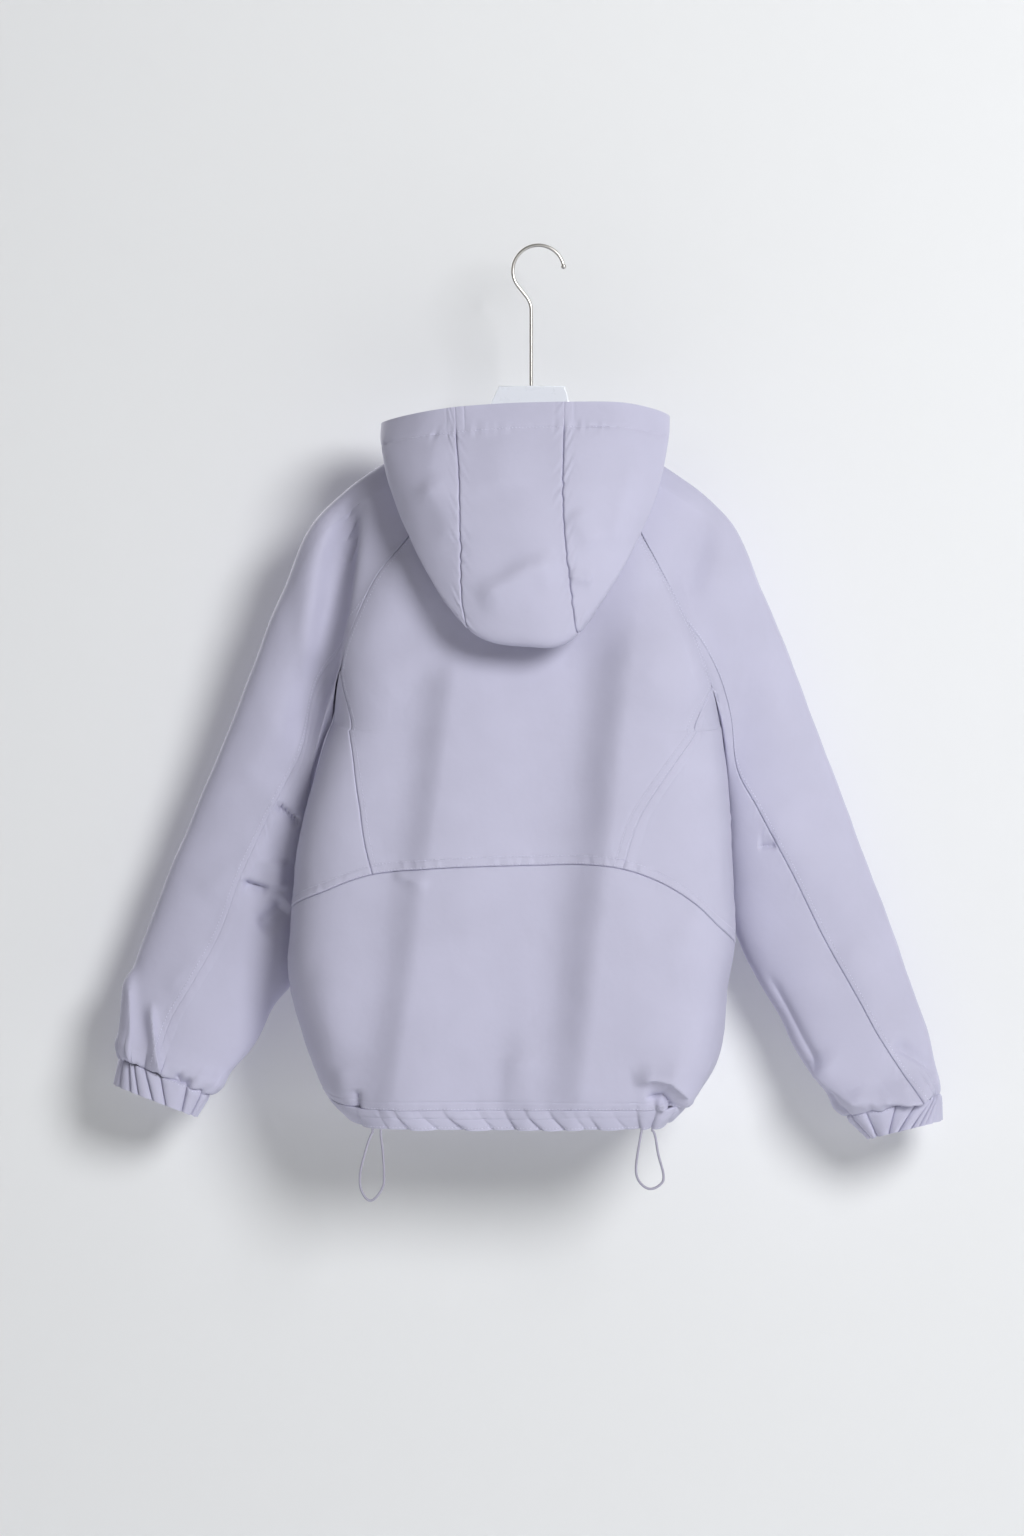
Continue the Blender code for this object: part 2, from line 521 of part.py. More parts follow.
def finish(name, mesh, finish_material, collection):
    mesh.materials.append(finish_material)
    mesh.shade_smooth()
    made = bpy.data.objects.new(name, mesh)
    collection.objects.link(made)
    return made


def placed_grid(points):
    """A grid of faces with its vertices at the points."""
    rows, columns = points.shape[:2]
    shape = bmesh.new()
    bmesh.ops.create_grid(shape, x_segments=columns - 1, y_segments=rows - 1, size=0.5)
    for vertex in shape.verts:
        column = round((vertex.co.x + 0.5) * (columns - 1))
        row = round((vertex.co.y + 0.5) * (rows - 1))
        vertex.co = points[row, column]
    return shape


def cloth_object(name, shape, finish_material, collection):
    bmesh.ops.recalc_face_normals(shape, faces=shape.faces)
    if shape.calc_volume(signed=True) < 0:
        bmesh.ops.reverse_faces(shape, faces=shape.faces)
    mesh = bpy.data.meshes.new(name)
    shape.to_mesh(mesh)
    shape.free()
    return finish(name, mesh, finish_material, collection)


def cloth(name, outer, normals, finish_material, collection, sides=ALL_SIDES, gap=SEAM_GAP):
    """A cloth wall on a grid of outer points, with its inside moved in along the normals."""
    outer = drawn_in(outer, sides, gap)
    inner = outer - WALL * normals
    rows, columns = outer.shape[:2]
    places = np.stack(np.meshgrid(np.arange(columns), np.arange(rows)) + [np.zeros((rows, columns))], axis=-1)
    shape = placed_grid(places)
    skin = bmesh.ops.extrude_face_region(shape, geom=shape.faces[:])
    inside = {part for part in skin["geom"] if isinstance(part, bmesh.types.BMVert)}
    for vertex in shape.verts:
        row, column = round(vertex.co.y), round(vertex.co.x)
        vertex.co = (inner if vertex in inside else outer)[row, column]
    return cloth_object(name, shape, finish_material, collection)


def cloth_ring(name, outer, normals, finish_material, collection):
    """A cloth wall that closes on itself: its outside, then its inside, in one loop round the wall."""
    inner = outer - WALL * normals
    shape = placed_grid(np.concatenate([outer, inner[::-1], outer[:1]]))
    bmesh.ops.remove_doubles(shape, verts=shape.verts, dist=1e-6)
    return cloth_object(name, shape, finish_material, collection)


def raglan_normal(side, half, row):
    """The shared way out of the body and the sleeve where they meet at the raglan seam."""
    end = -1.0 if side == "left" else 1.0
    span = 0.5 - NECK_SHARE
    around = NECK_SHARE + (NECK_ROW - row) / (NECK_ROW - UNDERARM_ROW) * span
    around = around if half == "back" else 1 - around
    return unit(torso_normal(half, end, row) + sleeve_normal(side, around, 0.01 + 0 * around))


def body_normals(half, across, row):
    """Normals of a body panel, shared with the sleeves along the raglan seams."""
    normals = torso_normal(half, across, row)
    for side, end in (("left", -1.0), ("right", 1.0)):
        at_seam = (np.abs(across - end) < 1e-6) & (row >= UNDERARM_ROW)
        normals[at_seam] = raglan_normal(side, half, row[at_seam])
    return normals


def seam_row(seam, across_sign):
    """The side-back seam's place across, for a row, up to where it runs out at the raglan."""
    def across(row):
        return np.where(row > SIDE_BACK_TOP_ROW, across_sign, smooth(row, seam["row"], seam["across"]))
    return across


def raglan_rows():
    return np.arange(UNDERARM_ROW, NECK_ROW + 0.25, 0.5)


def side_rows(side):
    """Rows along a side seam: below the yoke seam, and from there to just below the underarm."""
    yoke_end = YOKE["row"][0 if side == "left" else -1]
    lower = CASING_ROW + (yoke_end - CASING_ROW) * np.linspace(0, 1, LOWER_ROWS)
    upper = yoke_end + (UNDERARM_ROW - yoke_end) * np.linspace(0, 1, YOKE_ROWS)[:-1]
    return lower, upper


def make_back(lilac, collection):
    left_seam = seam_row(SIDE_BACK_LEFT, -1.0)
    right_seam = seam_row(SIDE_BACK_RIGHT, 1.0)
    raglan_part = raglan_rows()

    columns = np.linspace(0, 1, BACK_COLUMNS)[None, :]
    lower = np.linspace(0, 1, YOKE_ROWS)[:-1, None]
    corner_left, corner_right = SIDE_BACK_LEFT["across"][0], SIDE_BACK_RIGHT["across"][0]
    middle_across = corner_left + (corner_right - corner_left) * columns
    side_across = {}
    yoke_row = smooth(middle_across, YOKE["across"], YOKE["row"])
    row = np.concatenate([
        yoke_row + (UNDERARM_ROW - yoke_row) * lower,
        np.repeat(raglan_part[:, None], columns.size, axis=1),
    ])
    left, right = left_seam(row), right_seam(row)
    across = left + (right - left) * columns
    cloth("back_upper", torso("back", across, row), body_normals("back", across, row), lilac, collection)

    for side, seam, end in (("left", left_seam, -1.0), ("right", right_seam, 1.0)):
        top = np.linspace(UNDERARM_ROW, SIDE_BACK_TOP_ROW, SIDE_TOP_ROWS)
        columns = np.linspace(0, 1, SIDE_COLUMNS)[None, :]
        inner_start = corner_left if side == "left" else corner_right
        side_across[side] = inner_start + (end - inner_start) * columns
        yoke_row = smooth(side_across[side], YOKE["across"], YOKE["row"])
        lower = np.linspace(0, 1, YOKE_ROWS)[:-1, None]
        row = np.concatenate([
            yoke_row + (UNDERARM_ROW - yoke_row) * lower,
            np.repeat(top[:, None], columns.size, axis=1),
        ])
        across = seam(row) + (end - seam(row)) * columns
        points, normals = torso("back", across, row), body_normals("back", across, row)
        cloth(f"back_side_{side}", points, normals, lilac, collection, gap=BENT_SEAM_GAP)

    stretches = [side_across["left"], middle_across, side_across["right"]]
    across = np.unique(np.concatenate(stretches, axis=1))[None, :]
    rise = np.linspace(0, 1, LOWER_ROWS)[:, None]
    yoke_row = smooth(across, YOKE["across"], YOKE["row"])
    row = CASING_ROW + (yoke_row - CASING_ROW) * rise
    across = np.broadcast_to(across, row.shape)
    cloth("back_lower", torso("back", across, row), torso_normal("back", across, row), lilac, collection)


def zip_across(row, reach):
    """The place across the front that lies this far from the zip's middle line."""
    width = smooth(row, FRONT["row"], FRONT["right_x"]) - smooth(row, FRONT["row"], FRONT["left_x"])
    wrap = smooth(row, FRONT["row"], FRONT["wrap"])
    return np.arcsin(reach * 2 / width * wrap) / np.arcsin(np.clip(wrap, 0.5, 1.0))


def make_fronts(lilac, tape, collection):
    for side, end in (("left", -1.0), ("right", 1.0)):
        row = np.unique(np.concatenate([*side_rows(side), raglan_rows()]))[:, None]
        columns = np.linspace(0, 1, FRONT_COLUMNS)[None, :]
        start = end * zip_across(row, ZIP_GAP_HALF)
        across = start + (end - start) * columns
        rows = np.broadcast_to(row, across.shape)
        points, normals = torso("front", across, rows), body_normals("front", across, rows)
        cloth(f"front_{side}", points, normals, lilac, collection)

        tape_row = np.linspace(*TAPE_ROWS, TAPE_STEPS)[:, None]
        reach = np.array((SEAM_GAP, ZIP_GAP_HALF, ZIP_TAPE_HALF))[None, :]
        across = end * zip_across(tape_row, reach)
        rows = np.broadcast_to(tape_row, across.shape)
        normal = torso_normal("front", across, rows)
        under = torso("front", across, rows) - normal * TAPE_INSET
        cloth(f"zip_tape_{side}", under, normal, tape, collection, sides=())


def make_casings(lilac, collection):
    rise = np.array(CASING_RISES)[:, None]
    count = GATHERS_HEM_BACK * GATHER_POINTS
    pieces = [("hem_casing_back", "back", np.linspace(-1, 1, count + 1)[None, :])]
    for side, end in (("left", -1.0), ("right", 1.0)):
        start = end * zip_across(np.array(0.5), ZIP_GAP_HALF + CASING_ZIP_GAP)
        across = start + (end - start) * np.linspace(0, 1, GATHERS_HEM_FRONT * GATHER_POINTS + 1)
        pieces.append((f"hem_casing_front_{side}", "front", across[None, :]))
    for name, half, across in pieces:
        across, row = np.broadcast_arrays(across, HEM_ROW + (CASING_ROW - HEM_ROW) * rise)
        cloth(name, casing(half, across, row), casing_normal(half, across, row), lilac, collection)


def make_sleeves(lilac, collection):
    even = np.linspace(SLEEVE_EVEN_START, 1.0, SLEEVE_EVEN_RINGS)
    along = np.concatenate([np.array(SLEEVE_FIRST_RINGS), even])[:, None]
    span = 0.5 - NECK_SHARE
    raglan_steps = NECK_SHARE + (NECK_ROW - raglan_rows()[::-1]) / (NECK_ROW - UNDERARM_ROW) * span
    back_seam = NECK_SHARE + (NECK_ROW - SEAM_ROW) / (NECK_ROW - UNDERARM_ROW) * span
    front_steps = 1 - raglan_steps
    upper = np.concatenate([
        np.sort(front_steps[front_steps >= 1 - back_seam - 1e-9]) - 1,
        np.array((-NECK_SHARE / 2, 0.0, NECK_SHARE / 2)),
        raglan_steps[raglan_steps <= back_seam + 1e-9],
    ])
    under = np.unique(np.round(np.concatenate([
        raglan_steps[raglan_steps >= back_seam - 1e-9],
        front_steps[front_steps <= 1 - back_seam + 1e-9],
    ]), 9))
    fall = (NECK_ROW - UNDERARM_ROW) / span
    for side in ("left", "right"):
        for name, around in (("upper", upper), ("under", under)):
            around = np.mod(around, 1)[None, :]
            grid_around, grid_along = np.broadcast_arrays(around, along)
            normals = sleeve_normal(side, grid_around, grid_along)
            for i, place in enumerate(around[0]):
                if NECK_SHARE - 1e-9 <= place <= 1 - NECK_SHARE + 1e-9:
                    half = "back" if place <= 0.5 else "front"
                    row = NECK_ROW - (min(place, 1 - place) - NECK_SHARE) * fall
                    normals[0, i] = raglan_normal(side, half, np.array(np.clip(row, UNDERARM_ROW, NECK_ROW)))
            points = sleeve(side, grid_around, grid_along)
            cloth(f"sleeve_{name}_{side}", points, normals, lilac, collection, gap=BENT_SEAM_GAP)

        around = np.linspace(0, 1, GATHERS_CUFF * GATHER_POINTS + 1)[None, :]
        rise = np.array(CUFF_RISES)[:, None]
        grid_around, grid_rise = np.broadcast_arrays(around, rise)
        outer = cuff(side, grid_around, grid_rise)
        outer[:, -1] = outer[:, 0]
        normals = cuff_normal(side, grid_around, grid_rise)
        normals[:, -1] = normals[:, 0]
        cloth_ring(f"cuff_{side}", outer, normals, lilac, collection)


def make_hood(lilac, collection):
    rise = np.array(HOOD_RISES)[:, None]
    side = np.unique(np.concatenate([
        np.linspace(HOOD_SEAM, HOOD_NECK_BACK, HOOD_COLUMNS["back"]),
        np.linspace(HOOD_NECK_BACK, HOOD_NECK_FRONT, HOOD_COLUMNS["side"]),
        np.linspace(HOOD_NECK_FRONT, HOOD_END, HOOD_COLUMNS["front"]),
    ]))
    pieces = [
        ("hood_centre", np.linspace(-HOOD_SEAM, HOOD_SEAM, HOOD_COLUMNS["centre"])),
        ("hood_side_left", -side[::-1]),
        ("hood_side_right", side),
    ]
    for name, place in pieces:
        place, grid_rise = np.broadcast_arrays(place[None, :], rise)
        cloth(name, hood(place, grid_rise), hood_normal(place, grid_rise), lilac, collection,
              sides=("left", "right"), gap=HOOD_SEAM_GAP)


def tube(name, route, diameter, resolution, finish_material, collection):
    """A round wire or cord along a route of points."""
    curve = bpy.data.curves.new(name, "CURVE")
    curve.dimensions = "3D"
    curve.bevel_depth = diameter / 2
    curve.bevel_resolution = resolution
    curve.use_fill_caps = True
    line = curve.splines.new("POLY")
    line.points.add(len(route) - 1)
    for point, place in zip(line.points, route):
        point.co = (*place, 1.0)
    curve.materials.append(finish_material)
    made = bpy.data.objects.new(name, curve)
    collection.objects.link(made)
    return made


def hem_edge(x):
    """The middle of the back casing's lower edge at this x, and the lowest z close to it."""
    across = np.linspace(-0.95, 0.95, 2000)
    row = np.full_like(across, HEM_ROW)
    edge = casing("back", across, row) - casing_normal("back", across, row) * WALL / 2
    near = np.abs(edge[:, 0] - x) < CORD_DIAMETER
    nearest = edge[np.argmin(np.abs(edge[:, 0] - x))]
    return np.array((x, nearest[1], edge[near, 2].min()))


def make_cords(grey, collection):
    for side, route in CORDS.items():
        knots = np.arange(len(route["x"]), dtype=float)
        at = np.linspace(0, knots[-1], CORD_POINTS)
        x = smooth(at, knots, route["x"])
        z = smooth(at, knots, route["z"])
        x[0], x[-1] = x[1], x[-2]
        first, last = hem_edge(x[0]), hem_edge(x[-1])
        share = at / knots[-1]
        y = first[1] * (1 - share) + last[1] * share
        z[0], z[-1] = first[2] - CORD_END_GAP, last[2] - CORD_END_GAP
        z[1], z[-2] = min(z[1], z[0] - CORD_DIAMETER), min(z[-2], z[-1] - CORD_DIAMETER)
        tube(f"hem_cord_{side}", np.stack([x, y, z], axis=-1), CORD_DIAMETER, 2, grey, collection)


def make_hook(steel, collection, cutters):
    centre_z = HOOK_WIRE / 2 - HOOK_RADIUS
    angles = np.radians(np.linspace(HOOK_TIP_ANGLE, HOOK_TURN_ANGLE, HOOK_STEPS))
    route = [(HOOK_RADIUS * math.cos(a), 0, centre_z + HOOK_RADIUS * math.sin(a)) for a in angles]
    last = route[-1]
    bend = np.array((STEM_X, 0, STEM_BEND_Z))
    start = bend + unit(np.array(last) - bend) * STEM_BEND_LENGTH
    end = bend - np.array((0, 0, STEM_BEND_LENGTH))
    for s in np.linspace(0, 1, STEM_BEND_STEPS):
        route.append(tuple((1 - s) ** 2 * start + 2 * s * (1 - s) * bend + s * s * end))
    route.append((STEM_X, 0, BOARD_TOP_Z + SEAM_GAP))
    wire = tube("hook_wire", route, HOOK_WIRE, 2, steel, collection)
    bpy.context.view_layer.update()
    seen = wire.evaluated_get(bpy.context.evaluated_depsgraph_get())
    mesh = bpy.data.meshes.new_from_object(seen)
    mesh.name = "hanger_hook"
    bpy.data.objects.remove(wire)
    shape = bmesh.new()
    shape.from_mesh(mesh)
    bmesh.ops.remove_doubles(shape, verts=shape.verts, dist=1e-6)
    shape.to_mesh(mesh)
    shape.free()
    mesh.materials.clear()
    hook = finish("hanger_hook", mesh, steel, collection)

    ball_mesh = bpy.data.meshes.new("hook_ball")
    shape = bmesh.new()
    bmesh.ops.create_uvsphere(shape, u_segments=12, v_segments=8, radius=HOOK_BALL / 2)
    shape.to_mesh(ball_mesh)
    shape.free()
    ball = bpy.data.objects.new("hook_ball", ball_mesh)
    ball.location = route[0]
    join_shape(hook, ball, cutters)


def board_outline():
    """The hanger board's outline: a trapezoid crown and two arms under the shoulder lines."""
    sides = {}
    for side in ("left", "right"):
        rings = SLEEVES[side]
        along = np.linspace(0.0, BOARD_ARM_ALONG, 8)
        x = smooth(along, rings["along"], rings["outer_x"])
        z = smooth(along, rings["along"], rings["outer_z"])
        way = unit(np.stack([np.gradient(x), np.gradient(z)], axis=-1))
        down = np.stack([way[:, 1], -way[:, 0]], axis=-1)
        down = down * -np.sign(down[:, 1:2])
        top = np.stack([x, z], axis=-1) + down * BOARD_CLEARANCE
        low = np.stack([x, z], axis=-1) + down * BOARD_ARM_HEIGHT
        tip = (top[-1] + low[-1]) / 2 + way[-1] * BOARD_TIP
        sides[side] = [*BOARD_CROWN[side], *top, tip, *low[::-2]]
    return sides["left"] + [(STEM_X, BOARD_LOW_Z)] + sides["right"][::-1]


def make_board(white, collection):
    outline = bpy.data.curves.new("hanger_board", "CURVE")
    outline.dimensions = "2D"
    outline.fill_mode = "BOTH"
    outline.extrude = BOARD_THICKNESS / 2
    line = outline.splines.new("POLY")
    points = board_outline()
    line.points.add(len(points) - 1)
    for point, place in zip(line.points, points):
        point.co = (place[0], place[1], 0, 1)
    line.use_cyclic_u = True
    outline.materials.append(white)
    board = bpy.data.objects.new("hanger_board", outline)
    board.rotation_euler = (math.pi / 2, 0, 0)
    collection.objects.link(board)


def block(name, size, offset, place, finish_material, collection, bevel):
    """A small rounded block, its middle at the offset from its origin, and its origin at the place."""
    mesh = bpy.data.meshes.new(name)
    shape = bmesh.new()
    bmesh.ops.create_cube(shape, size=1.0, matrix=Matrix.Translation(offset) @ Matrix.Diagonal((*size, 1.0)))
    shape.to_mesh(mesh)
    shape.free()
    made = finish(name, mesh, finish_material, collection)
    made.matrix_world = place
    rounding = made.modifiers.new("rounding", "BEVEL")
    rounding.width = bevel
    rounding.segments = 2
    return made


def join_shape(whole, shape, cutters):
    """A hidden shape, joined to the whole."""
    shape.hide_render = True
    shape.display_type = "WIRE"
    for holder in shape.users_collection:
        holder.objects.unlink(shape)
    cutters.objects.link(shape)
    join = whole.modifiers.new(shape.name, "BOOLEAN")
    join.operation = "UNION"
    join.solver = "EXACT"
    join.object = shape


def make_zip_slider(steel, collection, cutters):
    """The slider on the closed zip's top, with two ears that carry its pull tab's pin along X."""
    middle = Vector(torso("front", 0.0, SLIDER_ROW))
    normal = Vector(torso_normal("front", 0.0, SLIDER_ROW))
    lean = Matrix.Rotation(math.atan2(normal.z, normal.y), 4, "X")
    face = SLIDER_SIZE[1] / 2
    seat = Matrix.Translation(middle + normal * (face + SEAM_GAP - TAPE_INSET)) @ lean
    slider = block("zip_slider", SLIDER_SIZE, (0, 0, 0), seat, steel, collection, ROUNDING["slider"])
    for name, side in (("slider_ear_left", -1), ("slider_ear_right", 1)):
        ear_x = side * (TAB_SIZE[0] / 2 + TAB_SIDE_GAP + EAR_SIZE[0] / 2)
        offset = (ear_x, face - EAR_SINK + EAR_SIZE[1] / 2, PIN_RISE)
        ear = block(name, EAR_SIZE, offset, seat, steel, collection, ROUNDING["ear"])
        join_shape(slider, ear, cutters)
    pin = seat @ Vector((0, face + PIN_REACH, PIN_RISE))
    hang = (0, 0, TAB_ABOVE_PIN - TAB_SIZE[2] / 2)
    block("zip_pull_tab", TAB_SIZE, hang, Matrix.Translation(pin), steel, collection, ROUNDING["tab"])


def main():
    for old in list(bpy.data.objects):
        bpy.data.objects.remove(old)
    collection = bpy.data.collections.new("rain_jacket")
    bpy.context.scene.collection.children.link(collection)
    cutters = bpy.data.collections.new("joined_shapes")
    bpy.context.scene.collection.children.link(cutters)
    lilac = material("lilac_cloth", LILAC, 0.75)
    tape = material("zip_tape", LILAC_TAPE, 0.8)
    grey = material("cord", CORD_GREY, 0.6)
    steel = material("steel", STEEL, 0.32, 1.0)
    white = material("board", BOARD_WHITE, 0.25)
    make_back(lilac, collection)
    make_fronts(lilac, tape, collection)
    make_casings(lilac, collection)
    make_sleeves(lilac, collection)
    make_hood(lilac, collection)
    make_cords(grey, collection)
    make_hook(steel, collection, cutters)
    make_board(white, collection)
    make_zip_slider(steel, collection, cutters)


main()
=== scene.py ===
"""The looks of a hooded raglan rain jacket on its hanger: cloth shells, sewing, zip teeth, cords and light.

Metres, +Z up. The jacket's back faces -Y, as in the photograph, and its front faces +Y. The cloth uses the
same tables and surfaces as the solids, sampled finely, with creases and puckers added along their normals.
"""
import math
from functools import partial

import bmesh
import bpy
import numpy as np
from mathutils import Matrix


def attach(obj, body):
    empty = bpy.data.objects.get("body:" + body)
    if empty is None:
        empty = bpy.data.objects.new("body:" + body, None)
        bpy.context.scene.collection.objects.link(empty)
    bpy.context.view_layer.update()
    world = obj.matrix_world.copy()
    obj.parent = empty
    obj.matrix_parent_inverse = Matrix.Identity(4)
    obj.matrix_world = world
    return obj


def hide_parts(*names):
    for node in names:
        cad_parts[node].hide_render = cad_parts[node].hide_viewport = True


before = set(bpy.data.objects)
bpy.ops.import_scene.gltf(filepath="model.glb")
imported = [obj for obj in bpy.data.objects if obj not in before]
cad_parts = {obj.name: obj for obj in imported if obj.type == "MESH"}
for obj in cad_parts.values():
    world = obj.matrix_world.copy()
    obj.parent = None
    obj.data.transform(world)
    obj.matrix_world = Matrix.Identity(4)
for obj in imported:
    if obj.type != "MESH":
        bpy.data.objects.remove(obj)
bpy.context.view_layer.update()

# Sizes shared with the solids
WALL = 0.0015
SEAM_GAP = 0.0004
NECK_LIFT = 0.0010
ZIP_GAP_HALF = 0.006
ZIP_TAPE_HALF = 0.014
TAPE_CLEARANCE = 0.00112
TAPE_INSET = WALL + SEAM_GAP + TAPE_CLEARANCE
CASING_ZIP_GAP = 0.0015
CORD_DIAMETER = 0.0025

# Hanger
HOOK_WIRE = 0.0036
HOOK_RADIUS = 0.0256
HOOK_BALL = 0.0054
HOOK_TIP_ANGLE = 10
HOOK_TURN_ANGLE = 215
STEM_X = -0.0072
STEM_BEND_Z = -0.0560
BOARD_TOP_Z = -0.1390
BOARD_THICKNESS = 0.0080
BOARD_CLEARANCE = 0.0062
STEM_BEND_LENGTH = 0.008
BOARD_CROWN = {
    "left": ((-0.0394, BOARD_TOP_Z), (-0.0504, -0.1615)),
    "right": ((0.0266, BOARD_TOP_Z), (0.0316, -0.1570)),
}
BOARD_ARM_HEIGHT = 0.025
BOARD_ARM_ALONG = 0.095
BOARD_TIP = 0.009
BOARD_LOW_Z = -0.236
BOARD_ARM_STEPS, BOARD_EDGE, BOARD_EDGE_STEPS = 8, 0.0012, 3
HOOK_STEPS, STEM_BEND_STEPS, WIRE_SIDES, BALL_STEPS = 64, 14, 6, (24, 16)
CORD_STEPS, CORD_SIDES = 36, 4


def table(columns, rows):
    """A short table as one array for each named column."""
    values = np.array(rows, float)
    return {name: values[:, i] for i, name in enumerate(columns.split())}


# Rows of the torso, from the hem's edge (row 0) and its stitching (1) up to the underarm (7), then along
# the raglan seams to the neck (12). Up to row 7 the ends are the side seams, which both halves share.
TORSO_COLUMNS = "row left_x left_y left_z right_x right_y right_z wrap centre_y centre_z"
SIDE_SEAMS = [
    (0, -0.196, -0.004, -0.861, 0.140, -0.004, -0.858, 1.00),
    (1, -0.213, -0.004, -0.843, 0.160, -0.004, -0.840, 1.00),
    (2, -0.229, -0.006, -0.803, 0.182, -0.006, -0.803, 1.00),
    (3, -0.249, -0.008, -0.735, 0.190, -0.008, -0.735, 1.00),
    (4, -0.2475, -0.010, -0.683, 0.1965, -0.010, -0.683, 1.00),
    (5, -0.2415, -0.010, -0.608, 0.1925, -0.010, -0.608, 1.00),
    (6, -0.2275, -0.008, -0.543, 0.1895, -0.008, -0.543, 1.00),
    (7, -0.2060, 0.000, -0.475, 0.1825, 0.000, -0.480, 1.00),
]
BACK_RAGLANS = [
    (8, -0.1990, -0.036, -0.424, 0.1740, -0.036, -0.442, 0.96),
    (9, -0.1850, -0.046, -0.378, 0.1600, -0.046, -0.400, 0.90),
    (10, -0.1610, -0.049, -0.329, 0.1350, -0.049, -0.349, 0.86),
    (11, -0.1270, -0.047, -0.287, 0.1030, -0.047, -0.288, 0.82),
    (12, -0.0710, -0.040, -0.207, 0.0630, -0.040, -0.209, 0.80),
]
FRONT_RAGLANS = [
    (8, -0.1930, 0.034, -0.428, 0.1690, 0.034, -0.436, 0.96),
    (9, -0.1760, 0.042, -0.380, 0.1530, 0.042, -0.392, 0.90),
    (10, -0.1510, 0.044, -0.330, 0.1290, 0.044, -0.342, 0.86),
    (11, -0.1200, 0.042, -0.280, 0.1010, 0.042, -0.286, 0.82),
    (12, -0.0790, 0.034, -0.222, 0.0700, 0.034, -0.226, 0.80),
]
BACK_CENTRE = [
    (-0.066, -0.880), (-0.072, -0.861), (-0.080, -0.813), (-0.081, -0.738), (-0.078, -0.683),
    (-0.073, -0.608), (-0.070, -0.543), (-0.068, -0.486), (-0.068, -0.436), (-0.068, -0.388),
    (-0.067, -0.338), (-0.063, -0.288), (-0.052, -0.215),
]
FRONT_CENTRE = [
    (0.050, -0.873), (0.056, -0.853), (0.062, -0.808), (0.064, -0.738), (0.064, -0.683), (0.062, -0.608),
    (0.060, -0.545), (0.060, -0.492), (0.060, -0.450), (0.060, -0.410), (0.059, -0.370), (0.057, -0.330),
    (0.054, -0.285),
]
BACK, FRONT = [
    table(TORSO_COLUMNS, [(*ends, *middle) for ends, middle in zip(SIDE_SEAMS + raglans, centre)])
    for raglans, centre in ((BACK_RAGLANS, BACK_CENTRE), (FRONT_RAGLANS, FRONT_CENTRE))
]
WRAP_LEAST, NORMAL_STEP = 0.5, 1e-3
SIDE_ENDS = (("left", -1.0), ("right", 1.0))
UNDERARM_ROW, NECK_ROW, CASING_ROW, HEM_ROW = 7, 12, 1, 0
TAPE_ROWS = (HEM_ROW + 0.12, NECK_ROW - 0.04)
FLATNESS = {"back": 9.0, "front": 3.2}

# The curved yoke seam across the back, and the two side-back seams that run from it up to the raglans
YOKE = table("across row", [
    (-1.00, 4.31), (-0.66, 4.53), (-0.44, 4.75), (-0.25, 4.82), (0.07, 4.87), (0.20, 4.88),
    (0.32, 4.83), (0.45, 4.67), (0.60, 4.39), (0.72, 4.11), (1.00, 3.75),
])
SIDE_BACK_LEFT = table("row across", [
    (4.75, -0.442), (5.10, -0.478), (5.82, -0.544), (6.74, -0.674), (7.40, -0.830), (8.00, -0.985),
])
SIDE_BACK_RIGHT = table("row across", [
    (4.83, 0.330), (5.68, 0.402), (6.29, 0.505), (6.90, 0.644), (7.40, 0.790), (8.00, 0.985),
])
SIDE_BACK_TOP_ROW = 8.0
FOLD_FADE = 0.05
FOLD_EDGE_RISE = 1.6

# Soft folds of the body: a ridge from a top point to a low point, steeper on one side than on the other
FOLD_COLUMNS = "top_x top_z low_x low_z left_width right_width height"
FOLDS_BACK = table(FOLD_COLUMNS, [
    (-0.084, -0.450, -0.140, -0.850, 0.024, 0.110, 0.0130),
    (0.094, -0.420, 0.047, -0.840, 0.031, 0.130, 0.0215),
    (-0.010, -0.830, -0.006, -0.880, 0.016, 0.040, 0.0060),
    (0.142, -0.835, 0.134, -0.868, 0.022, 0.020, 0.0100),
])
FOLDS_FRONT = table(FOLD_COLUMNS, [
    (-0.130, -0.420, -0.150, -0.840, 0.060, 0.030, 0.0090),
    (0.085, -0.440, 0.118, -0.840, 0.040, 0.055, 0.0100),
])

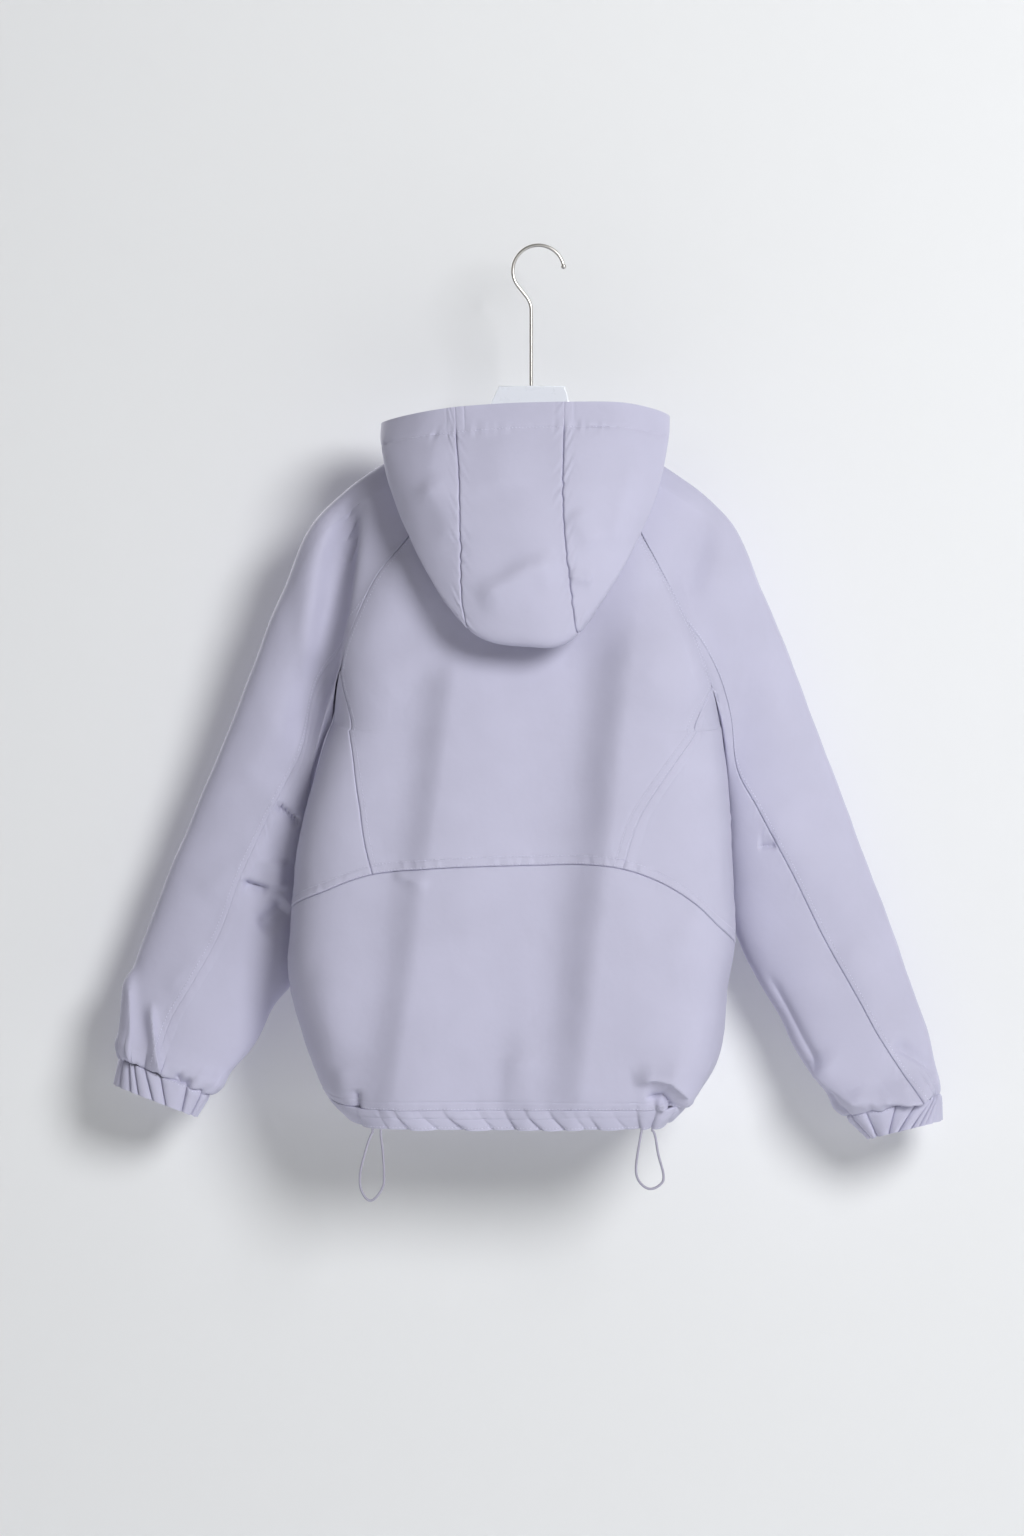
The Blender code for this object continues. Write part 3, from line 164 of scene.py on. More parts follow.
# Rings of the sleeves: the outer line over the shoulder and down the arm, the inner line from the underarm
# and behind the body's edge, and half the ring's thickness there. Both sleeves share their depths.
SLEEVE_DEPTHS = table("along outer_y inner_y half_depth", [
    (0.00, -0.001, -0.001, 0.042), (0.07, 0.000, 0.010, 0.036), (0.14, 0.004, 0.023, 0.036),
    (0.26, 0.018, 0.038, 0.036), (0.40, 0.034, 0.046, 0.036), (0.55, 0.043, 0.050, 0.036),
    (0.70, 0.046, 0.050, 0.037), (0.82, 0.044, 0.046, 0.038), (0.92, 0.038, 0.040, 0.037),
    (1.00, 0.030, 0.030, 0.032),
])
SLEEVES = {
    "left": SLEEVE_DEPTHS | table("outer_x outer_z inner_x inner_z", [
        (-0.0980, -0.1870, -0.2060, -0.475), (-0.1620, -0.2210, -0.2150, -0.494),
        (-0.2150, -0.2640, -0.2220, -0.522), (-0.2564, -0.3440, -0.2290, -0.565),
        (-0.3064, -0.4710, -0.2360, -0.622), (-0.3480, -0.5700, -0.2400, -0.680),
        (-0.3824, -0.6540, -0.2460, -0.735), (-0.4045, -0.7150, -0.2680, -0.764),
        (-0.4180, -0.7660, -0.2900, -0.806), (-0.4185, -0.8110, -0.3300, -0.848),
    ]),
    "right": SLEEVE_DEPTHS | table("outer_x outer_z inner_x inner_z", [
        (0.0860, -0.1930, 0.1825, -0.480), (0.1400, -0.2290, 0.1860, -0.497),
        (0.1860, -0.2670, 0.1880, -0.524), (0.2240, -0.3430, 0.1890, -0.567),
        (0.2700, -0.4560, 0.1900, -0.622), (0.3120, -0.5690, 0.1950, -0.676),
        (0.3500, -0.6670, 0.2190, -0.731), (0.3750, -0.7400, 0.2420, -0.770),
        (0.3925, -0.7930, 0.2670, -0.818), (0.4035, -0.8480, 0.3086, -0.870),
    ]),
}
# How far the sleeve's back seam swings outwards along the sleeve, as a part of a turn
SEAM_SWING = table("along left right", [
    (0.00, 0.000, 0.000), (0.15, 0.035, 0.045), (0.26, 0.045, 0.062), (0.40, -0.003, 0.014),
    (0.55, -0.036, -0.028), (0.70, -0.048, -0.042), (0.82, -0.055, -0.060), (0.92, -0.076, -0.080),
    (1.00, -0.066, -0.120),
])
NECK_SHARE = 0.06
SEAM_ROW = 9.5
RAGLAN_REACH = 0.30
SLEEVE_FOLD_RISE, SLEEVE_FOLD_START = 1.5, 0.04
FOLDS_SLEEVE = table(FOLD_COLUMNS, [
    (-0.188, -0.275, -0.222, -0.455, 0.020, 0.011, -0.0160),
    (0.166, -0.279, 0.144, -0.340, 0.016, 0.018, -0.0080),
])
SLEEVE_ROUNDNESS = 0.6
CUFFS = {
    "left": {"outer": (-0.4245, 0.030, -0.8385), "inner": (-0.3440, 0.030, -0.8700), "half_depth": 0.030},
    "right": {"outer": (0.4040, 0.030, -0.8740), "inner": (0.3316, 0.030, -0.8920), "half_depth": 0.030},
}

# Sections of the hood that hangs open on the back, from its front end at the left (-6) round the back (0)
# to the right (6): its free edge, its lowest points, and how far its outer wall swells
HOOD = table("place edge_x edge_y edge_z low_x low_y low_z swell", [
    (-6.0, -0.020, 0.068, -0.258, -0.018, 0.063, -0.272, 0.004),
    (-5.0, -0.088, 0.057, -0.214, -0.076, 0.051, -0.231, 0.004),
    (-4.0, -0.142, 0.022, -0.179, -0.130, 0.024, -0.189, 0.004),
    (-3.0, -0.1560, -0.036, -0.1770, -0.1520, -0.050, -0.2140, 0.004),
    (-2.0, -0.1210, -0.079, -0.1690, -0.1270, -0.086, -0.2900, 0.014),
    (-1.0, -0.0800, -0.092, -0.1635, -0.0680, -0.108, -0.3840, 0.026),
    (0.0, -0.0290, -0.096, -0.1600, -0.0080, -0.114, -0.4010, 0.030),
    (1.0, 0.0256, -0.094, -0.1585, 0.0400, -0.108, -0.3880, 0.026),
    (2.0, 0.0860, -0.080, -0.1590, 0.0960, -0.086, -0.2980, 0.014),
    (3.0, 0.1290, -0.036, -0.1690, 0.1250, -0.050, -0.2140, 0.004),
    (4.0, 0.1200, 0.022, -0.180, 0.1100, 0.024, -0.192, 0.004),
    (5.0, 0.0770, 0.057, -0.214, 0.0660, 0.051, -0.233, 0.004),
    (6.0, 0.0110, 0.068, -0.258, 0.0090, 0.063, -0.272, 0.004),
])
HOOD_SEAM = 1.0
HOOD_END = 6.0
HOOD_NECK_BACK = 1.7
HOOD_NECK_FRONT = 4.0
HOOD_TURN = (0.010, 0.010)
HOOD_ROUNDING = 0.5
HOOD_BAG_START, HOOD_BAG_DEPTH = 0.005, 0.060
HOOD_TURN_LEAST = 0.4
HOOD_INNER_FALL, HOOD_INNER_BULGE = 0.55, 0.002
HOOD_KNOTS = (0.0, 0.10, 0.30, 0.47, 0.55, 0.63, 0.80, 1.0)
NECK_HALF_WIDTH = 0.075

# Free drawcord loops at the hem: points down one leg, round the end and up the other leg. Both ends come
# out of the casing's edge.
CORD_END_GAP = 0.0007
HEM_SEARCH_END, HEM_SEARCH_STEPS = 0.95, 2000
CORDS = {
    "left": table("x z", [
        (-0.1632, -0.8790), (-0.1690, -0.8920), (-0.1764, -0.9190), (-0.1772, -0.9350), (-0.1733, -0.9455),
        (-0.1674, -0.9505), (-0.1612, -0.9470), (-0.1552, -0.9380), (-0.1534, -0.9290), (-0.1544, -0.9040),
        (-0.1575, -0.8790),
    ]),
    "right": table("x z", [
        (0.1026, -0.8770), (0.1006, -0.8890), (0.0966, -0.9160), (0.0986, -0.9290), (0.1060, -0.9370),
        (0.1140, -0.9380), (0.1226, -0.9320), (0.1236, -0.9226), (0.1186, -0.9040), (0.1156, -0.8860),
        (0.1116, -0.8770),
    ]),
}


def between(s, step, first, last, first_slope, last_slope):
    """The smooth curve from a first to a last value, at the share s of the step between them."""
    start = (1 + 2 * s) * (1 - s) ** 2 * first + s * (1 - s) ** 2 * step * first_slope
    return start + (s * s * (3 - 2 * s) * last + s * s * (s - 1) * step * last_slope)


def smooth(at, knots, values):
    """A smooth curve through the values at the knots."""
    at = np.clip(at, knots[0], knots[-1])
    i = np.clip(np.searchsorted(knots, at, side="right") - 1, 0, len(knots) - 2)
    step = knots[i + 1] - knots[i]
    s = (at - knots[i]) / step
    slope = np.gradient(values, knots)
    return between(s, step, values[i], values[i + 1], slope[i], slope[i + 1])


def fold_height(folds, x, z, fade_length=FOLD_FADE):
    """How far the folds lift the cloth at each x and z."""
    height = np.zeros_like(x)
    for i in range(len(folds["height"])):
        top = np.array((folds["top_x"][i], folds["top_z"][i]))
        low = np.array((folds["low_x"][i], folds["low_z"][i]))
        length = np.linalg.norm(low - top)
        way = (low - top) / length
        along = ((x - top[0]) * way[0] + (z - top[1]) * way[1]) / length
        across = -(x - top[0]) * way[1] + (z - top[1]) * way[0]
        width = np.where(across < 0, folds["left_width"][i], folds["right_width"][i])
        past_end = np.maximum(np.abs(along - 0.5) - 0.5, 0) * length
        fade = np.exp(-((past_end / fade_length) ** 2))
        height = height + folds["height"][i] * fade * np.exp(-((across / width) ** 2))
    return height


def torso(half, across, row):
    """The body's outer face: across runs from -1 at the left to 1 at the right, row from hem to neck."""
    rows = BACK if half == "back" else FRONT
    folds = FOLDS_BACK if half == "back" else FOLDS_FRONT
    outwards = -1.0 if half == "back" else 1.0
    across, row = np.broadcast_arrays(np.asarray(across, float), np.asarray(row, float))

    def at(column):
        values = rows[column]
        if column.startswith("centre"):
            return smooth(row, rows["row"], values)
        below = smooth(row, rows["row"][:UNDERARM_ROW + 1], values[:UNDERARM_ROW + 1])
        above = smooth(row, rows["row"][UNDERARM_ROW:], values[UNDERARM_ROW:])
        return np.where(row <= UNDERARM_ROW, below, above)

    wrap = np.clip(at("wrap"), WRAP_LEAST, 1.0)
    turn = np.arcsin(wrap)
    share = np.sin(across * turn) / wrap
    edge = np.sqrt(np.maximum(1 - wrap ** FLATNESS[half], 0))
    bulge = (np.sqrt(np.maximum(1 - np.abs(share * wrap) ** FLATNESS[half], 0)) - edge) / (1 - edge)
    right = (1 + share) / 2
    x = at("left_x") * (1 - right) + at("right_x") * right
    y_ends = at("left_y") * (1 - right) + at("right_y") * right
    z_ends = at("left_z") * (1 - right) + at("right_z") * right
    y = y_ends + (at("centre_y") - y_ends) * bulge
    z = z_ends + (at("centre_z") - z_ends) * bulge
    y = y + outwards * np.clip(FOLD_EDGE_RISE * bulge, 0, 1) * fold_height(folds, x, z)
    return np.stack([x, y, z], axis=-1)


def unit(vectors):
    return vectors / np.maximum(np.linalg.norm(vectors, axis=-1, keepdims=True), 1e-12)


def normals_of(surface, turned, first, second, first_ends, second_ends):
    """A surface's outward normals, by small steps. Without ends, the first place goes round as a turn."""
    first, second = np.broadcast_arrays(np.asarray(first, float), np.asarray(second, float))
    after, before = first + NORMAL_STEP, first - NORMAL_STEP
    if first_ends:
        after, before = np.clip(after, *first_ends), np.clip(before, *first_ends)
    else:
        after, before = np.mod(after, 1), np.mod(before, 1)
    over = surface(after, second) - surface(before, second)
    above, below = np.clip(second + NORMAL_STEP, *second_ends), np.clip(second - NORMAL_STEP, *second_ends)
    up = surface(first, above) - surface(first, below)
    return unit(np.cross(up, over) if turned else np.cross(over, up))


def torso_normal(half, across, row, top_row=NECK_ROW):
    return normals_of(partial(torso, half), half == "front", across, row, (-1, 1), (HEM_ROW, top_row))


def raglan(side, half, row):
    return torso(half, -1.0 if side == "left" else 1.0, row)


def neck_edge(side, share):
    """The sleeve's short edge at the neck, from the back raglan (-1) over the shoulder (0) to the front."""
    rings = SLEEVES[side]
    shoulder = np.array((rings["outer_x"][0], rings["outer_y"][0], rings["outer_z"][0]))
    ends = np.stack([raglan(side, "back", NECK_ROW), shoulder, raglan(side, "front", NECK_ROW)])
    knots = np.array((-1.0, 0.0, 1.0))
    return np.stack([smooth(share, knots, ends[:, axis]) for axis in range(3)], axis=-1)


def raglan_loop(side, around):
    """The sleeve's first ring: the neck edge, the back raglan, the underarm and the front raglan."""
    span = 0.5 - NECK_SHARE
    fall = (NECK_ROW - UNDERARM_ROW) / span
    back_row = NECK_ROW - (around - NECK_SHARE) * fall
    front_row = UNDERARM_ROW + (around - 0.5) * fall
    neck_share = np.where(around < 0.5, -around, 1 - around) / NECK_SHARE
    back = raglan(side, "back", np.clip(back_row, UNDERARM_ROW, NECK_ROW))
    front = raglan(side, "front", np.clip(front_row, UNDERARM_ROW, NECK_ROW))
    neck = neck_edge(side, np.clip(neck_share, -1, 1))
    at_neck = (around < NECK_SHARE) | (around > 1 - NECK_SHARE)
    body = np.where((around < 0.5)[..., None], back, front)
    return np.where(at_neck[..., None], neck, body)


def ring(side, around, along):
    """An even ring of the sleeve: around is a part of a turn from the outer line, by the back."""
    rings = SLEEVES[side]

    def at(column):
        return smooth(along, rings["along"], rings[column])

    angle = 2 * np.pi * around
    swing = smooth(along, SEAM_SWING["along"], SEAM_SWING[side])
    angle = angle + 2 * np.pi * swing * np.maximum(np.sin(angle), 0) ** 2
    out = (1 + np.cos(angle)) / 2
    x = at("inner_x") * (1 - out) + at("outer_x") * out
    z = at("inner_z") * (1 - out) + at("outer_z") * out
    depth = np.sign(np.sin(angle)) * np.abs(np.sin(angle)) ** SLEEVE_ROUNDNESS
    y = at("inner_y") * (1 - out) + at("outer_y") * out - at("half_depth") * depth
    return np.stack([x, y, z], axis=-1)


def sleeve(side, around, along):
    """The sleeve's outer face, from the raglan seam (along 0) to the cuff (along 1)."""
    around, along = np.broadcast_arrays(np.asarray(around, float), np.asarray(along, float))
    points = ring(side, around, along)
    start = ring(side, around, np.zeros_like(around))
    fade = np.clip(1 - along / RAGLAN_REACH, 0, 1) ** 2
    points = points + fade[..., None] * (raglan_loop(side, around) - start)
    facing = np.clip(np.sin(2 * np.pi * around) * SLEEVE_FOLD_RISE, 0, 1)
    facing = facing * np.clip(along / SLEEVE_FOLD_START, 0, 1)
    points[..., 1] -= facing * fold_height(FOLDS_SLEEVE, points[..., 0], points[..., 2])
    return points


def hood_neck(place):
    """The neckline under the hood, from the front (-6) round the back (0) to the front (6)."""
    side_share = (np.abs(place) - HOOD_NECK_BACK) / (HOOD_NECK_FRONT - HOOD_NECK_BACK) * 2 - 1
    front_across = (HOOD_END - np.abs(place)) / (HOOD_END - HOOD_NECK_FRONT)
    front_start = ZIP_GAP_HALF / NECK_HALF_WIDTH
    front_across = front_start + (1 - front_start) * np.clip(front_across, 0, 1)
    back = torso("back", np.clip(place / HOOD_NECK_BACK, -1, 1), NECK_ROW)
    left = neck_edge("left", np.clip(side_share, -1, 1))
    right = neck_edge("right", np.clip(side_share, -1, 1))
    front = torso("front", np.sign(place) * front_across, NECK_ROW)
    side = np.where((place < 0)[..., None], left, right)
    reach = np.abs(place)[..., None]
    points = np.where(reach <= HOOD_NECK_BACK, back, np.where(reach <= HOOD_NECK_FRONT, side, front))
    return points + np.array((0, 0, NECK_LIFT))


def hood(place, rise):
    """The hood's outer face: place goes round the neck, rise from the neckline (0) to the free edge (1)."""
    place, rise = np.broadcast_arrays(np.asarray(place, float), np.asarray(rise, float))

    def at(column):
        return smooth(place, HOOD["place"], HOOD[column])

    neck = hood_neck(place)
    edge = np.stack([at("edge_x"), at("edge_y"), at("edge_z")], axis=-1)
    low = np.stack([at("low_x"), at("low_y"), at("low_z")], axis=-1)
    bag = np.clip((neck[..., 2] - low[..., 2] - HOOD_BAG_START) / HOOD_BAG_DEPTH, 0, 1)[..., None]
    outwards = unit((edge - neck) * np.array((1.0, 1.0, 0.0)))
    reach = HOOD_TURN_LEAST + (1 - HOOD_TURN_LEAST) * bag
    turn = neck + outwards * HOOD_TURN[0] * reach + np.array((0, 0, HOOD_TURN[1]))
    inner = turn + (low - turn) * HOOD_INNER_FALL + bag * outwards * HOOD_INNER_BULGE
    swell = outwards * at("swell")[..., None]
    lift = np.array((0, 0, 1)) * at("swell")[..., None] * HOOD_ROUNDING
    near_body = low - swell * HOOD_ROUNDING + lift
    near_rim = low + swell * HOOD_ROUNDING + lift
    outer = (low + edge) / 2 + swell
    knots = np.array(HOOD_KNOTS)
    stops = [neck, turn, inner, near_body, low, near_rim, outer, edge]
    slopes = []
    for i in range(len(stops)):
        before, after = max(i - 1, 0), min(i + 1, len(stops) - 1)
        slopes.append((stops[after] - stops[before]) / (knots[after] - knots[before]))
    points = np.zeros(place.shape + (3,))
    for i in range(len(stops) - 1):
        step = knots[i + 1] - knots[i]
        s = np.clip((rise - knots[i]) / step, 0, 1)[..., None]
        curve = between(s, step, stops[i], stops[i + 1], slopes[i], slopes[i + 1])
        here = (rise >= knots[i]) & (rise <= knots[i + 1])
        points = np.where(here[..., None], curve, points)
    return points


def cuff(side, around, along):
    """The gathered cuff, from the sleeve's end (0) to the wrist opening (1)."""
    around, along = np.broadcast_arrays(np.asarray(around, float), np.asarray(along, float))
    top = ring(side, around, np.ones_like(around))
    form = CUFFS[side]
    angle = 2 * np.pi * around
    out = ((1 + np.cos(angle)) / 2)[..., None]
    outer, inner = np.array(form["outer"]), np.array(form["inner"])
    low = inner * (1 - out) + outer * out
    low = low + np.stack([0 * angle, -form["half_depth"] * np.sin(angle), 0 * angle], axis=-1)
    return top + (low - top) * along[..., None]


def zip_across(row, reach):
    """The place across the front that lies this far from the zip's middle line."""
    width = smooth(row, FRONT["row"], FRONT["right_x"]) - smooth(row, FRONT["row"], FRONT["left_x"])
    wrap = smooth(row, FRONT["row"], FRONT["wrap"])
    return np.arcsin(reach * 2 / width * wrap) / np.arcsin(np.clip(wrap, WRAP_LEAST, 1.0))


def hem_edge(x):
    """The middle of the back casing's lower edge at this x, and the lowest z close to it."""
    across = np.linspace(-HEM_SEARCH_END, HEM_SEARCH_END, HEM_SEARCH_STEPS)
    row = np.full_like(across, HEM_ROW)
    edge = torso("back", across, row) - torso_normal("back", across, row, CASING_ROW) * WALL / 2
    near = np.abs(edge[:, 0] - x) < CORD_DIAMETER
    nearest = edge[np.argmin(np.abs(edge[:, 0] - x))]
    return np.array((x, nearest[1], edge[near, 2].min()))


def board_outline():
    """The hanger board's outline: a trapezoid crown and two arms under the shoulder lines."""
    sides = {}
    for side in ("left", "right"):
        rings = SLEEVES[side]
        along = np.linspace(0.0, BOARD_ARM_ALONG, BOARD_ARM_STEPS)
        x = smooth(along, rings["along"], rings["outer_x"])
        z = smooth(along, rings["along"], rings["outer_z"])
        way = unit(np.stack([np.gradient(x), np.gradient(z)], axis=-1))
        down = np.stack([way[:, 1], -way[:, 0]], axis=-1)
        down = down * -np.sign(down[:, 1:2])
        top = np.stack([x, z], axis=-1) + down * BOARD_CLEARANCE
        low = np.stack([x, z], axis=-1) + down * BOARD_ARM_HEIGHT
        tip = (top[-1] + low[-1]) / 2 + way[-1] * BOARD_TIP
        sides[side] = [*BOARD_CROWN[side], *top, tip, *low[::-2]]
    return sides["left"] + [(STEM_X, BOARD_LOW_Z)] + sides["right"][::-1]


# Cloth shells and how finely they are sampled
SHELL = 0.0010
HEM_SHELL = 0.0020
STEP_BACK, STEP_FRONT, STEP_HOOD, STEP_BAND, STEP_CUFF = 0.0034, 0.0060, 0.0030, 0.0013, 0.0030
STEP_SLEEVE, STEP_SLEEVE_FINE, STEP_SLEEVE_FRONT, STEP_DARTS = 0.0060, 0.0024, 0.0090, 0.0016
EDGE_STOPS = np.array((
    0, 0.0004, 0.0009, 0.0015, 0.0024, 0.0036, 0.0052, 0.0070, 0.0084, 0.0092, 0.0100, 0.0110,
))
RIM_STOPS = np.array((0.0245, 0.0254, 0.0260, 0.0266, 0.0275))
# About how long the panels are, which sets how many points are sampled along them
YOKE_TO_UNDERARM, RAGLAN_LENGTH, UPPER_WIDTH, SIDE_TOP, SIDE_WIDTH = 0.17, 0.27, 0.36, 0.06, 0.12
LOWER_WIDTH, LOWER_HEIGHT, FRONT_HEIGHT, FRONT_WIDTH = 0.46, 0.23, 0.62, 0.26
CASING_RISE, CASING_BACK_WIDTH, CASING_FRONT_WIDTH = 0.024, 0.46, 0.24
SLEEVE_LENGTH, SLEEVE_UPPER_HALF, SLEEVE_UNDER_HALF, CUFF_RISE = 0.66, 0.16, 0.12, 0.028
HOOD_WALL_HEIGHT, HOOD_SIDE_WIDTH, HOOD_CENTRE_WIDTH = 0.24, 0.06, 0.10
# Closer samples at the tuck, the elbow darts and the sleeve's end, and fixed numbers of steps elsewhere
TUCK_COLUMNS, TUCK_LEVELS, TUCK_START = 34, 24, 0.05
DARTS_ALONG, DARTS_LENGTH = (0.40, 0.60), 0.13
SLEEVE_END_ALONG, SLEEVE_END_LENGTH = (0.88, 0.98), 0.066
NECK_STEPS, HOOD_INNER_STEPS, HOOD_NECK_STEPS, HOOD_FRONT_STEPS = 15, 21, 32, 16
TAPE_GRID = (190, 8)
SHARP_ANGLE = math.radians(50)

# Seams: how deep and wide the seam line dips, how high the turned-in band under the topstitching stands,
# how strongly the cloth puckers beside it, and how deep the topstitching sinks in
SEAM_PARTS = ("dip", "dip_width", "band", "pucker", "groove")
SEAM_STYLES = {name: dict(zip(SEAM_PARTS, values)) for name, values in {
    "plain": (0.0020, 0.0005, 0.0, 0.00020, 0.0),
    "soft": (0.0005, 0.0005, 0.00030, 0.00035, 0.0008),
    "faint": (0.0004, 0.0005, 0.00025, 0.00035, 0.0003),
    "felled": (0.0017, 0.0005, 0.00060, 0.00070, 0.0010),
    "puckered": (0.0028, 0.0006, 0.0, 0.00110, 0.0),
    "gathered": (0.0036, 0.0016, 0.0, 0.00080, 0.0),
}.items()}
SEAM_CHANGE_LENGTH = 0.006
BAND_WIDTH, BAND_EDGE = 0.0098, 0.0003
GROOVE_WIDTH = 0.0008
FELL_STITCH, RIM_STITCH = 0.0090, 0.0260
FELL_ROWS = (0.0016, FELL_STITCH)
RIM_GROOVE, RIM_PUCKER, RIM_PUCKER_WIDTH = 0.0012, 0.0008, 0.0060
PUCKER_PLACE, PUCKER_WIDTH = 0.0045, 0.0055
PUCKER_WAVES = ((0.0113, 0.50), (0.0179, 0.40), (0.0071, 0.30))
PUCKER_SHIFT, PUCKER_DRIFT, PUCKER_DRIFT_SHIFT, PUCKER_DRIFT_SHARE = 400, 0.093, 1.7, 0.4
SIDE_SEAM_RUN_OUT, SOFT_SEAM_END = 0.5, 0.160

# Stitches
STITCH_LENGTH, STITCH_PITCH = 0.0026, 0.0034
STITCH_WIDTH, STITCH_RAISE, STITCH_SINK = 0.0010, 0.00060, 0.00010
LOZENGE_FACES = ((0, 3, 4), (3, 1, 4), (1, 2, 4), (2, 0, 4), (3, 0, 5), (1, 3, 5), (2, 1, 5), (0, 2, 5))
STITCH_LINES = [
    *[(node, "low", FELL_ROWS) for node in ("back_upper", "back_side_left", "back_side_right")],
    ("back_upper", "left", (0.0055,)),
    ("back_upper", "right", FELL_ROWS),
    *[(node, "low", (0.0018,)) for node in ("back_lower", "front_left", "front_right")],
    *[(node, "left", (0.0016, 0.0075)) for node in ("front_left", "front_right")],
    *[(node, "right", (0.0055,)) for node in ("front_left", "front_right")],
    *[(f"hem_casing_{part}", "low", (0.0025,)) for part in ("back", "front_left", "front_right")],
    *[(f"sleeve_upper_{side}", edge, (0.0050,)) for side in ("left", "right") for edge in ("left", "right")],
    *[(f"hood_{part}", "high", (RIM_STITCH,)) for part in ("centre", "side_left", "side_right")],
    *[(f"cuff_{side}", "low", (0.0020,)) for side in ("left", "right")],
]

